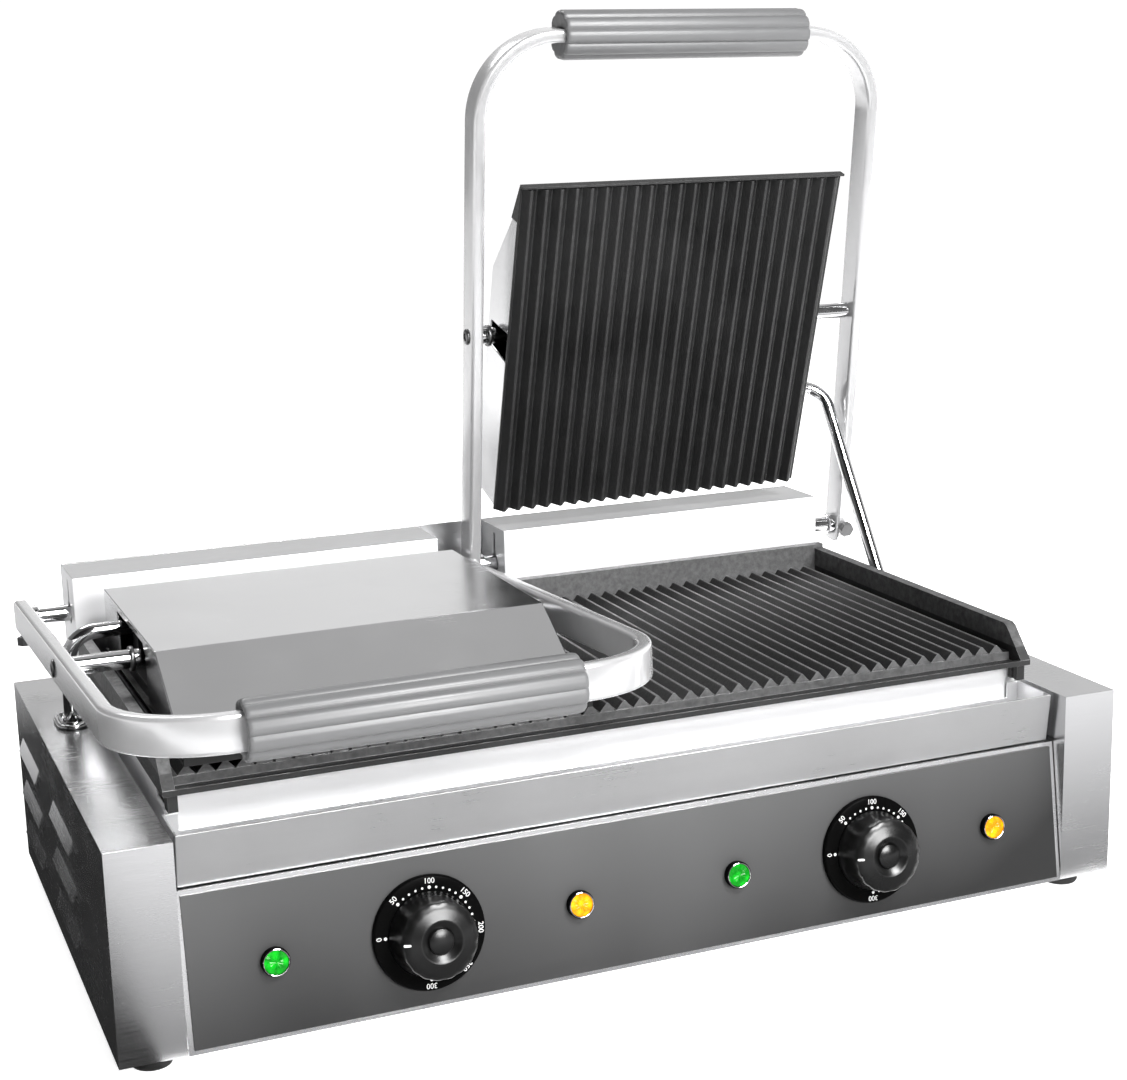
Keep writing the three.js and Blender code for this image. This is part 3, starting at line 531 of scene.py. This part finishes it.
# ---------- packed sheet and cast nodes that keep their own shape ----------
def finish_node(name, material, edge=0.4, segments=2, angle=32, edge_material=None, smooth=True):
    """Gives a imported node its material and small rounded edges.

    A node with holes in a flat wall stays unmerged and flat-shaded (smooth=False).
    """
    obj = NODES[name]
    mesh = obj.data
    if "custom_normal" in mesh.attributes:
        mesh.attributes.remove(mesh.attributes["custom_normal"])
    mesh.materials.clear()
    mesh.materials.append(material)
    mesh.polygons.foreach_set("use_smooth", [smooth] * len(mesh.polygons))
    weld = obj.modifiers.new("weld", "WELD")
    weld.merge_threshold = 0.000005
    if smooth:
        flat = obj.modifiers.new("flat", "DECIMATE")
        flat.decimate_type = "DISSOLVE"
        flat.angle_limit = math.radians(0.6)
    if edge:
        soften(obj, edge, segments, angle)
        obj.modifiers["edges"].harden_normals = smooth
    if edge_material:
        mesh.materials.append(edge_material)
        obj.modifiers["edges"].material = 1


for side in ("left", "right"):
    finish_node(f"{side}_side_casing", STEEL, 0.6, 4, 15, smooth=False)
    finish_node(f"{side}_hinge_housing", STEEL_HOUSING, 0.7, 3)
    finish_node(f"{side}_upper_cover", STEEL_COVER, 0.7, 3)
    finish_node(f"{side}_thermostat", CASE, 0.5)
    finish_node(f"{side}_lower_element", HEATER, 0)
    finish_node(f"{side}_upper_element", HEATER, 0)
finish_node("base_pan", ZINC, 0.3)
finish_node("rear_panel", STEEL_REAR, 0.4)
finish_node("inner_body", STEEL_BODY, 0.6, 3)
finish_node("front_fascia", STEEL, 0.6, 3)
finish_node("control_overlay", PANEL, 0.25)
finish_node("drip_tray", STEEL_TRAY, 0.5, 3)
finish_node("terminal_block", CERAMIC, 0.4)
BASE_IRON = cast_iron("base_iron", (0, 0, 1), LOWER_CREST, CREST_DEPTH, 0.6)
finish_node("lower_grill_plate", BASE_IRON, 0.5, edge_material=EDGE_HIGHLIGHT_IRON)
for side, sign, opened in SIDES:
    iron = upper_plate_iron(side, sign, opened)
    finish_node(f"{side}_upper_grill_plate", iron, 0.5, edge_material=FAINT_EDGE_HIGHLIGHT_IRON)


# ---------- arms, grips, rods and shafts ----------
def bar_path():
    half, reach, tip = ARM["half"], ARM["reach"], ARM["tip"]
    corners = [(-half, tip - 5, 0), (-half, -reach, 0), (half, -reach, 0), (half, tip - 5, 0)]
    return bent_path(corners, ARM["bend"], 28)


def bar_shape(path, section):
    """Carries the bar's section down its path and closes each end with a half-round nose."""
    up = Vector((0, 0, 1))
    nose, steps = 5, 8
    noses = []
    for (point, tangent), away in ((path[0], -1), (path[-1], 1)):
        angles = [math.pi / 2 * step / steps for step in range(1, steps + 1)]
        noses.append([(point + tangent * away * nose * math.sin(a), tangent, math.cos(a)) for a in angles])
    rows = noses[0][::-1] + [(point, tangent, 1.0) for point, tangent in path] + noses[1]
    count = len(section)
    half = max(a for a, b in section)
    verts = []
    for point, tangent, share in rows:
        side = tangent.cross(up).normalized()
        limit = half - (1 - share) * nose
        verts += [point + up * max(-limit, min(limit, a)) + side * b for a, b in section]
    faces = strips(len(rows), count)
    last = (len(rows) - 1) * count
    faces.append(tuple(reversed(range(count))))
    faces.append(tuple(last + i for i in range(count)))
    return Shape().add(verts, faces)


def grip_outline(radius, lobes, depth, count=180):
    outline = []
    for i in range(count):
        angle = 2 * math.pi * i / count
        wave = 1 - (1 - abs(math.sin(lobes * angle / 2))) ** 1.6
        r = radius - depth + depth * wave
        outline.append((r * math.cos(angle), r * math.sin(angle)))
    return outline


def grip_shape():
    """A ribbed moulding with rolled ends, bored for the flat bar."""
    radius, half = 15.0, 82.3
    outer = grip_outline(radius, 10, 1.5)
    rows = [(-half, 0.82), (-half, 0.93), (-half + 0.7, 0.975), (-half + 2.2, 1.0)]
    rows += [(-x, s) for x, s in reversed(rows)]
    bore = []
    for y, z in outer:
        angle = math.atan2(z, y)
        bore.append((4.6 * math.cos(angle), 10.0 * math.sin(angle)))
    rings = [(x, [(y * s, z * s) for y, z in outer]) for x, s in rows]
    rings += [(half - 1.5, bore), (-half + 1.5, bore)]
    verts = [(x, y, z) for x, ring in rings for y, z in ring]
    return Shape().add(verts, strips(len(rings), len(outer), closed=True))


def along_x(matrix=None):
    """Puts a lathe's height on the local X axis."""
    return (matrix or Matrix()) @ turn(math.pi / 2, "Z")


def stepped_bar(steps, matrix=None, count=40):
    """A turned bar along X from (x, radius) steps, with small chamfers at every shoulder."""
    profile = [(0, steps[0][0])]
    for x0, x1, radius in steps:
        c = min(0.5, radius * 0.1, (x1 - x0) / 3)
        profile += [(radius - c, x0), (radius, x0 + c), (radius, x1 - c), (radius - c, x1)]
    profile.append((0, steps[-1][1]))
    return Shape().lathe(profile, along_x(matrix), count)


def collar_pair(shift):
    """Two collars that keep the upper plate's lugs in place on the rod."""
    collars = Shape()
    for x in sorted((shift - UPPER_HALF - 4, shift + UPPER_HALF + 4)):
        collars.lathe([(5.15, x - 1.2), (6.5, x - 1.2), (6.75, x - 0.9), (6.75, x + 0.9),
                       (6.5, x + 1.2), (5.15, x + 1.2)], along_x(), 40)
    return collars


def rod_cap():
    return Shape().lathe([(0, 0), (5, 0), (4.9, 0.5), (4.2, 1.0), (2.6, 1.1), (2.4, 0.45), (0, 0.45)],
                         None, 32)


def clamp_bolt():
    """A hexagon head below the bar and the bolt's end above it."""
    below = ARM["wide"] / 2
    bolt = Shape().lathe([(0, below + 0.3), (2.5, below + 0.3), (2.5, below + 2.2), (0, below + 2.2)],
                         None, 20)
    return bolt.prism(hexagon(5), -(below + 7), -(below + 2), "Z", turn(-math.pi / 2, "X"))


for side, sign, opened in SIDES:
    bars = bar_frame(sign, opened)
    body = f"{side}_arm_body"
    section = rounded_rect(ARM["wide"] / 2, ARM["thick"] / 2, 2.4, 5)
    bar_shape(bar_path(), section).build(f"{side}_arm_bar", body, CHROME_BAR, bars,
                                         stands_for=[f"{side}_arm"], sharp=50)
    grip_shape().build(f"{side}_handle_grip", body, GRIP, bars @ at(0, -ARM["reach"], 0),
                       stands_for=[f"{side}_grip"], sharp=60)
    inner = ARM["half"] - ARM["thick"] / 2 - 0.3
    shaft = stepped_bar([(-inner, -inner + 4, 7), (-inner + 4, inner - 4, 5), (inner - 4, inner, 7)])
    shaft.build(f"{side}_pivot_shaft", body, CHROME, bars, stands_for=[f"{side}_hinge_shaft"])
    rod_at = at(0, -ROD_REACH * math.cos(ARM_PITCH), ROD_REACH * math.sin(ARM_PITCH))
    rod_place = arm_frame(sign, opened) @ rod_at
    collars = collar_pair(sign * (UPPER_X - ARM["x"]))
    collars.build(f"{side}_rod_collars", body, DARK_STEEL, rod_place, stands_for=[f"{side}_plate_rod"])
    rod = stepped_bar([(-inner, inner, 5.13)])
    rod.build(f"{side}_hanger_rod", body, CHROME, rod_place, stands_for=[f"{side}_plate_rod"])
    for end, end_sign in (("outer", sign), ("inner", -sign)):
        face = end_sign * (ARM["half"] + ARM["thick"] / 2 + 0.3)
        facing = bars @ at(face, -ROD_REACH, 0) @ turn(end_sign * math.pi / 2, "Z")
        rod_cap().build(f"{side}_{end}_rod_cap", body, DARK_STEEL, facing,
                        stands_for=[f"{side}_{end}_rod_screw"])
        clamp_bolt().build(f"{side}_{end}_clamp_bolt", body, DARK_STEEL,
                           bars @ at(end_sign * ARM["half"], 0, 0) @ turn(math.pi / 2, "X"),
                           stands_for=[f"{side}_{end}_clamp_screw"], edge=0.3)


# ---------- conduits and their grommets ----------
for side, sign, opened in SIDES:
    shift = sign * (UPPER_X - ARM["x"])
    outward = sign * (CONDUIT["x"] - ARM["x"]) - shift
    corners = [(sign * (UPPER_HALF - 14), 0, 0), (outward, 0, 0), (outward, 0, -CONDUIT["length"])]
    path = bent_path(corners, CONDUIT["bend"], 16)
    pipe = Shape().tube(path, CONDUIT["radius"], CONDUIT["radius"] - 0.9, Vector((0, 1, 0)))
    pipe.build(f"{side}_conduit_pipe", f"{side}_conduit_body", CHROME, conduit_frame(sign, opened),
               stands_for=[f"{side}_conduit"], sharp=60)


def obround(grow, steps=14):
    """The grommet's long round opening, widened all round by grow."""
    radius = GROMMET["width"] / 2 + grow
    straight = (GROMMET["length"] - GROMMET["width"]) / 2
    outline = []
    for half, shift in ((0, straight), (1, -straight)):
        for step in range(steps + 1):
            angle = math.pi * (half + step / steps)
            outline.append((radius * math.cos(angle), shift + radius * math.sin(angle)))
    return outline


def grommet_shape():
    """A rolled lip round the opening, as (widening, height over the casing) rings."""
    profile = [(0, -3.5), (1.5, -3.5), (1.5, 0.3), (3.2, 0.3), (3.8, 0.6), (4.0, 1.3), (3.8, 2.1), (3.2, 2.7),
               (2.4, 2.9), (1.8, 2.5), (1.4, 2.5), (1.3, 3.4), (0.9, 3.8), (0.4, 3.7), (0, 3.2)]
    rings = [[(x, y, CASING_TOP + z) for x, y in obround(grow)] for grow, z in profile]
    return Shape().add(sum(rings, []), strips(len(rings), len(rings[0]), closed=True))


for side, sign, opened in SIDES:
    place = at(sign * CONDUIT["x"], GROMMET["y"], 0)
    grommet_shape().build(f"{side}_grommet_ring", "base", CHROME, place,
                          stands_for=[f"{side}_conduit_grommet"], sharp=50)


# ---------- springs and feet ----------
def coil_shape(turns=7, length=42.0, radius=9.5, wire=1.7, steps=24, count=12):
    """A coil of round wire along X."""
    rise = length / (turns * 2 * math.pi)
    verts = []
    for k in range(turns * steps + 1):
        angle = 2 * math.pi * k / steps
        outwards = Vector((0, math.cos(angle), math.sin(angle)))
        point = Vector((length * k / (turns * steps), 0, 0)) + outwards * radius
        tangent = Vector((rise, -radius * math.sin(angle), radius * math.cos(angle))).normalized()
        across = tangent.cross(outwards).normalized()
        verts += [point + outwards * a + across * b for a, b in circle(wire, count)]
    faces = [tuple(reversed(face)) for face in strips(turns * steps + 1, count)]
    faces.append(tuple(range(count)))
    faces.append(tuple(reversed(range(len(verts) - count, len(verts)))))
    return Shape().add(verts, faces)


def foot_shape():
    return Shape().lathe([(0, 0), (8.4, 0), (9.8, 0.4), (10.5, 1.8), (10.2, 4), (9.3, 7), (8.8, 9.2),
                          (0, 9.2)], turn(-math.pi / 2), 40)


for side, sign, opened in SIDES:
    coil_shape().build(f"{side}_torsion_spring", "base", DARK_STEEL, at(sign * 180 - 21, *HINGE),
                       stands_for=[f"{side}_balance_spring"])
    for end in ("front", "rear"):
        low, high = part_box(f"{side}_{end}_foot")
        centre = (low + high) / 2 * 1000
        foot_shape().build(f"{side}_{end}_rubber_foot", "base", RUBBER, at(centre.x, centre.y, 0),
                           stands_for=[f"{side}_{end}_foot"])


# ---------- dials, knobs and lamps ----------
def text_faces(words, size, matrix):
    curve = bpy.data.curves.new("mark", "FONT")
    curve.body = words
    curve.size = size
    curve.extrude = 0.05
    curve.align_x = "CENTER"
    curve.align_y = "CENTER"
    obj = bpy.data.objects.new("mark", curve)
    bpy.context.scene.collection.objects.link(obj)
    mesh = bpy.data.meshes.new_from_object(obj.evaluated_get(bpy.context.evaluated_depsgraph_get()))
    verts = [matrix @ v.co for v in mesh.vertices]
    faces = [tuple(p.vertices) for p in mesh.polygons]
    bpy.data.objects.remove(obj)
    bpy.data.curves.remove(curve)
    bpy.data.meshes.remove(mesh)
    return verts, faces


def dial_spot(angle, radius, depth):
    """Place and turn for a mark on the dial: upright text stands outward from the centre."""
    spin = turn(angle - math.pi / 2, "Y").inverted()
    return at(radius * math.cos(angle), -depth, radius * math.sin(angle)) @ spin @ turn(math.pi / 2)


def disc(radius, height, matrix, count=14):
    verts = [matrix @ Vector((a, b, z)) for z in (-height / 2, height / 2) for a, b in circle(radius, count)]
    faces = [tuple(reversed(range(count))), tuple(range(count, 2 * count))]
    faces += [(i, (i + 1) % count, count + (i + 1) % count, count + i) for i in range(count)]
    return verts, faces


def dial_marks():
    """Numbers every 50 with a dot each, and smaller dots every 10 from 60 up."""
    degrees_each, ink_at = 0.9, 4.48
    shape = Shape()
    for value in range(0, 301, 50):
        angle = math.radians(ZERO_AT - degrees_each * value)
        shape.add(*text_faces(str(value), 3.9, dial_spot(angle, 26.6, ink_at)))
        shape.add(*disc(0.85, 0.1, dial_spot(angle, 23.4, ink_at)))
    for value in range(60, 300, 10):
        if value % 50:
            angle = math.radians(ZERO_AT - degrees_each * value)
            shape.add(*disc(0.6, 0.1, dial_spot(angle, 23.4, ink_at)))
    return shape


def knob_shape():
    """Flared knob with shallow scallops on its skirt and a dished face round a flat boss."""
    profile = [(0, -13), (3, -13), (3, 5.2), (18, 5.2), (21.4, 4.7), (21.7, 5.0), (21.6, 5.8), (21.0, 7.2),
               (20.5, 9.5), (20.2, 13), (20.1, 17), (20.0, 19.6), (19.7, 20.8), (19.0, 21.6), (15.5, 22.7),
               (12.2, 23.6), (11.3, 23.9), (10.8, 24.0), (10.3, 23.8), (9.4, 23.2), (6.8, 21.3), (6.55, 21.2),
               (6.5, 21.6), (6.4, 22.2), (6.1, 22.5), (0, 22.6)]
    shape = Shape().lathe(profile, None, 144)
    for v in shape.verts:
        radius = math.hypot(v.x, v.z)
        height = -v.y
        if 7 < height < 21 and radius > 17:
            angle = math.atan2(v.z, v.x)
            dip = 0.35 * (0.5 - 0.5 * math.cos(18 * angle)) * min(1, (height - 7) / 5)
            v.x *= (radius - dip) / radius
            v.z *= (radius - dip) / radius
    return shape


for side, sign, opened in SIDES:
    here = CONTROLS @ at(sign * KNOB_X, 0, DIAL_UP)
    ring = Shape().lathe([(5.6, 1.4), (29.5, 1.4), (29.5, 2.6), (29.3, 3.6), (28.9, 4.2), (28.4, 4.4),
                          (22.5, 4.4), (22.35, 4.55), (22.15, 4.55), (22, 4.4), (5.6, 4.4)], None, 96)
    ring.build(f"{side}_dial_plate", "base", GLOSS_BLACK, here, stands_for=[f"{side}_dial_ring"])
    dial_marks().build(f"{side}_dial_marks", "base", WHITE_INK, here)
    knob_body = f"{side}_knob_body"
    knob_shape().build(f"{side}_control_knob", knob_body, KNOB_BLACK, here,
                       stands_for=[f"{side}_knob"], sharp=50)
    pointer = Shape().prism(rounded_rect(0.6, 1.9, 0.55, 4), -0.15, 0.15, "Z")
    spot = here @ dial_spot(math.radians(ZERO_AT), 17.6, 22.1) @ turn(math.radians(-16))
    pointer.build(f"{side}_knob_pointer", knob_body, WHITE_INK, spot)

LAMPS = (("left_power_lamp", -206.3, GREEN), ("left_heat_lamp", -45.5, AMBER),
         ("right_power_lamp", 45.5, GREEN), ("right_heat_lamp", 206.3, AMBER))
for name, x, lens_material in LAMPS:
    here = CONTROLS @ at(x, 0, DIAL_UP)
    bezel = Shape().lathe([(5.6, 1.4), (7.2, 1.4), (7.2, 4.2), (7.0, 4.7), (6.5, 4.8), (6.3, 4.6),
                           (6.25, 3.2), (5.6, 3.2)], None, 48)
    bezel.build(f"{name}_bezel", "base", GLOSS_BLACK, here)
    dome = Shape().lathe([(0, -20), (4.9, -20), (4.9, 3.3), (6.15, 3.3), (6.15, 4.5), (5.9, 4.7), (3.4, 4.95),
                          (0, 4.75)], None, 24)
    for v in dome.verts:
        if 3 < math.hypot(v.x, v.z) < 4:
            v.y -= 0.15 * math.cos(12 * math.atan2(v.z, v.x))
    dome.build(f"{name}_lens", "base", lens_material, here, stands_for=[name], sharp=4)
    rim = Shape().lathe([(6.15, 4.6), (6.75, 4.75), (6.7, 5.0), (6.45, 5.15), (6.2, 5.05)], None, 48)
    rim.build(f"{name}_rim", "base", CHROME, here)


# ---------- cord gland and small fixings ----------
def gland_shape(bore=4.5):
    """The nut behind the panel, the domed cap and, between them, a hexagon with the bore through it."""
    shape = Shape().lathe([(bore, -20), (9, -20), (9, -8.2), (bore, -8.2)], None, 40)
    shape.lathe([(bore, -0.6), (6.4, -0.6), (7.0, -1.4), (8.4, -5.2), (8.9, -8.2), (bore, -8.2)], None, 40)
    verts = [(x, y, z) for y in (8.2, 11.7) for x, z in hexagon(12.9) + hexagon(bore)]
    faces = []
    for i in range(6):
        j = (i + 1) % 6
        faces += [(i, j, 12 + j, 12 + i), (6 + j, 6 + i, 18 + i, 18 + j), (6 + i, 6 + j, j, i),
                  (12 + i, 12 + j, 18 + j, 18 + i)]
    return shape.add(verts, faces)


gland_low, gland_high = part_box("cord_gland")
gland = (gland_low + gland_high) / 2 * 1000
gland_shape().build("cable_gland", "base", RUBBER,
                    at(gland.x, gland_high.y * 1000, gland.z) @ turn(math.pi, "Z"),
                    stands_for=["cord_gland"], edge=0.3)

SCREW_SPOTS = [(-236, 30), (-236, 105), (-80, 30), (80, 30), (236, 30), (236, 105)]
for index, (x, z) in enumerate(SCREW_SPOTS):
    head = Shape().lathe([(0, 0), (3.4, 0), (3.4, 0.88), (3.162, 1.28), (2.38, 1.6), (0, 1.6)],
                         turn(math.pi, "Z"), 28)
    head.build(f"rear_screw_{index}", "base", DARK_STEEL,
               at(x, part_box("rear_panel")[1].y * 1000, z))


# ---------- floor, light and camera ----------
def sheet(name, x, y, z, material):
    verts = [(x[0], y[0], z), (x[1], y[0], z), (x[1], y[1], z), (x[0], y[1], z)]
    mesh = bpy.data.meshes.new(name)
    mesh.from_pydata(verts, [], [(0, 1, 2, 3)])
    mesh.materials.append(material)
    obj = bpy.data.objects.new(name, mesh)
    bpy.context.scene.collection.objects.link(obj)
    obj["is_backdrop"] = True
    return obj


def floor_paper():
    """White paper that glows a little, so that it reads as white right up to the object."""
    s = Surface("floor_white", (0.93, 0.93, 0.93), 0.9, Specular_IOR_Level=0.1)
    s.tint(s.noise(s.scaled((1, 1, 1)), 3.0, 2.0), (0.92, 0.92, 0.92), (0.94, 0.94, 0.94))
    s.shader.inputs["Emission Color"].default_value = (1, 1, 1, 1)
    s.shader.inputs["Emission Strength"].default_value = 0.8
    return s.material


def flag(name, x, y, height, axis, near, far, levels):
    """Painted reflection: a glowing card on the floor that shows only in reflections, shaded from near to far
    along one axis.
    """
    s = Surface(f"{name}_shade", grey(0.0), 1.0, Specular_IOR_Level=0.0)
    spot = s.node("ShaderNodeSeparateXYZ")
    s.link(s.coords, spot.inputs[0])
    fade = s.remap(spot.outputs[axis], near, far, 0, 1)
    mix = s.node("ShaderNodeMix", data_type="RGBA")
    s.link(fade, mix.inputs["Factor"])
    mix.inputs["A"].default_value = (*grey(levels[0]), 1)
    mix.inputs["B"].default_value = (*grey(levels[1]), 1)
    s.link(mix.outputs["Result"], s.shader.inputs["Emission Color"])
    s.shader.inputs["Emission Strength"].default_value = 1.0
    card = sheet(name, x, y, height, s.material)
    card.visible_camera = False
    card.visible_diffuse = False
    card.visible_shadow = False
    card.visible_transmission = False


def studio_world():
    """White backdrop behind, a dim room in front and to the left, and a paler ceiling."""
    world = bpy.data.worlds.new("studio")
    bpy.context.scene.world = world
    world.use_nodes = True
    tree = world.node_tree

    def made(kind, **settings):
        node = tree.nodes.new(kind)
        for key, value in settings.items():
            setattr(node, key, value)
        return node

    def ramp(value, stops):
        node = made("ShaderNodeMapRange", interpolation_type="SMOOTHSTEP")
        for socket, number in zip(("From Min", "From Max", "To Min", "To Max"), stops):
            node.inputs[socket].default_value = number
        tree.links.new(value, node.inputs["Value"])
        return node.outputs["Result"]

    def times(a, b):
        node = made("ShaderNodeMath", operation="MULTIPLY")
        tree.links.new(a, node.inputs[0])
        tree.links.new(b, node.inputs[1])
        return node.outputs[0]

    parts = made("ShaderNodeSeparateXYZ")
    tree.links.new(made("ShaderNodeTexCoord").outputs["Generated"], parts.inputs[0])
    rise = ramp(parts.outputs["Z"], (0.15, 0.9, 0.95, 0.55))
    depth = ramp(parts.outputs["Y"], (-0.35, 0.15, 0.12, 1.0))
    left = ramp(parts.outputs["X"], (-0.3, 0.3, 0.25, 1.0))
    dim = tree.nodes["Background"]
    tree.links.new(times(times(rise, depth), left), dim.inputs["Color"])
    plain = made("ShaderNodeBackground")
    plain.inputs["Color"].default_value = (1, 1, 1, 1)
    plain.inputs["Strength"].default_value = 1.05
    choose = made("ShaderNodeMixShader")
    tree.links.new(made("ShaderNodeLightPath").outputs["Is Camera Ray"], choose.inputs["Fac"])
    tree.links.new(dim.outputs[0], choose.inputs[1])
    tree.links.new(plain.outputs[0], choose.inputs[2])
    tree.links.new(choose.outputs[0], tree.nodes["World Output"].inputs["Surface"])


def area_light(name, spot, target, width, height, watts):
    data = bpy.data.lights.new(name, "AREA")
    data.shape = "RECTANGLE"
    data.size, data.size_y = width, height
    data.energy = watts
    light = bpy.data.objects.new(name, data)
    bpy.context.scene.collection.objects.link(light)
    light.location = spot
    light.rotation_euler = (Vector(target) - Vector(spot)).to_track_quat("-Z", "Y").to_euler()
    light.visible_camera = False


sheet("studio_floor", (-9, 9), (-9, 9), 0, floor_paper())
# Painted reflection: floor shade near the object's front (0.24), fading to brighter than white (1.25) further
# forward.
flag("front_flag", (-1.4, 2.4), (-0.95, -0.16), 0.0008, "Y", -0.16, -0.55, (0.24, 1.25))
# Painted reflection: a dim room far in front, fading from 0.9 to 0.05 beyond y = -0.95 m.
flag("far_flag", (-2.5, 4.5), (-4.5, -0.95), 0.0008, "Y", -0.95, -1.3, (0.9, 0.05))
# Painted shade in reflections: nearly black beside the left side up to y = 0.42 m, fading to 0.75 by y = 0.75
# m.
flag("left_flag", (-1.5, -0.262), (-0.55, 1.6), 0.0014, "Y", 0.42, 0.75, (0.015, 0.75))
studio_world()
area_light("key", (0.45, -1.35, 1.75), (0, 0, 0.15), 1.0, 0.6, 60)
area_light("front", (0.6, -2.5, 1.15), (0, 0, 0.15), 1.4, 0.7, 75)
area_light("back", (-0.5, 2.0, 2.2), (0, 0, 0.2), 1.2, 0.8, 25)

def studio_camera(place, yaw, pitch, roll, lens_mm):
    data = bpy.data.cameras.new("camera")
    data.sensor_width = 36.0
    data.lens = lens_mm
    data.clip_start = 0.05
    camera = bpy.data.objects.new("camera", data)
    bpy.context.scene.collection.objects.link(camera)
    yaw, pitch, roll = math.radians(yaw), math.radians(pitch), math.radians(roll)
    forward = Vector((math.sin(yaw) * math.cos(pitch), math.cos(yaw) * math.cos(pitch), math.sin(pitch)))
    level = Vector((math.cos(yaw), -math.sin(yaw), 0))
    above = level.cross(forward)
    right = level * math.cos(roll) + above * math.sin(roll)
    upward = above * math.cos(roll) - level * math.sin(roll)
    pose = Matrix((right, upward, -forward)).transposed().to_4x4()
    pose.translation = place
    camera.matrix_world = pose
    bpy.context.scene.camera = camera


studio_camera(Vector((-0.410168, -1.032534 + SHIFT_Y / 1000, 0.444405 + FOOT / 1000)),
              22.2454, -12.5908, -1.4103, 63.14)
bpy.context.scene.view_settings.view_transform = "Standard"

low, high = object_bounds()
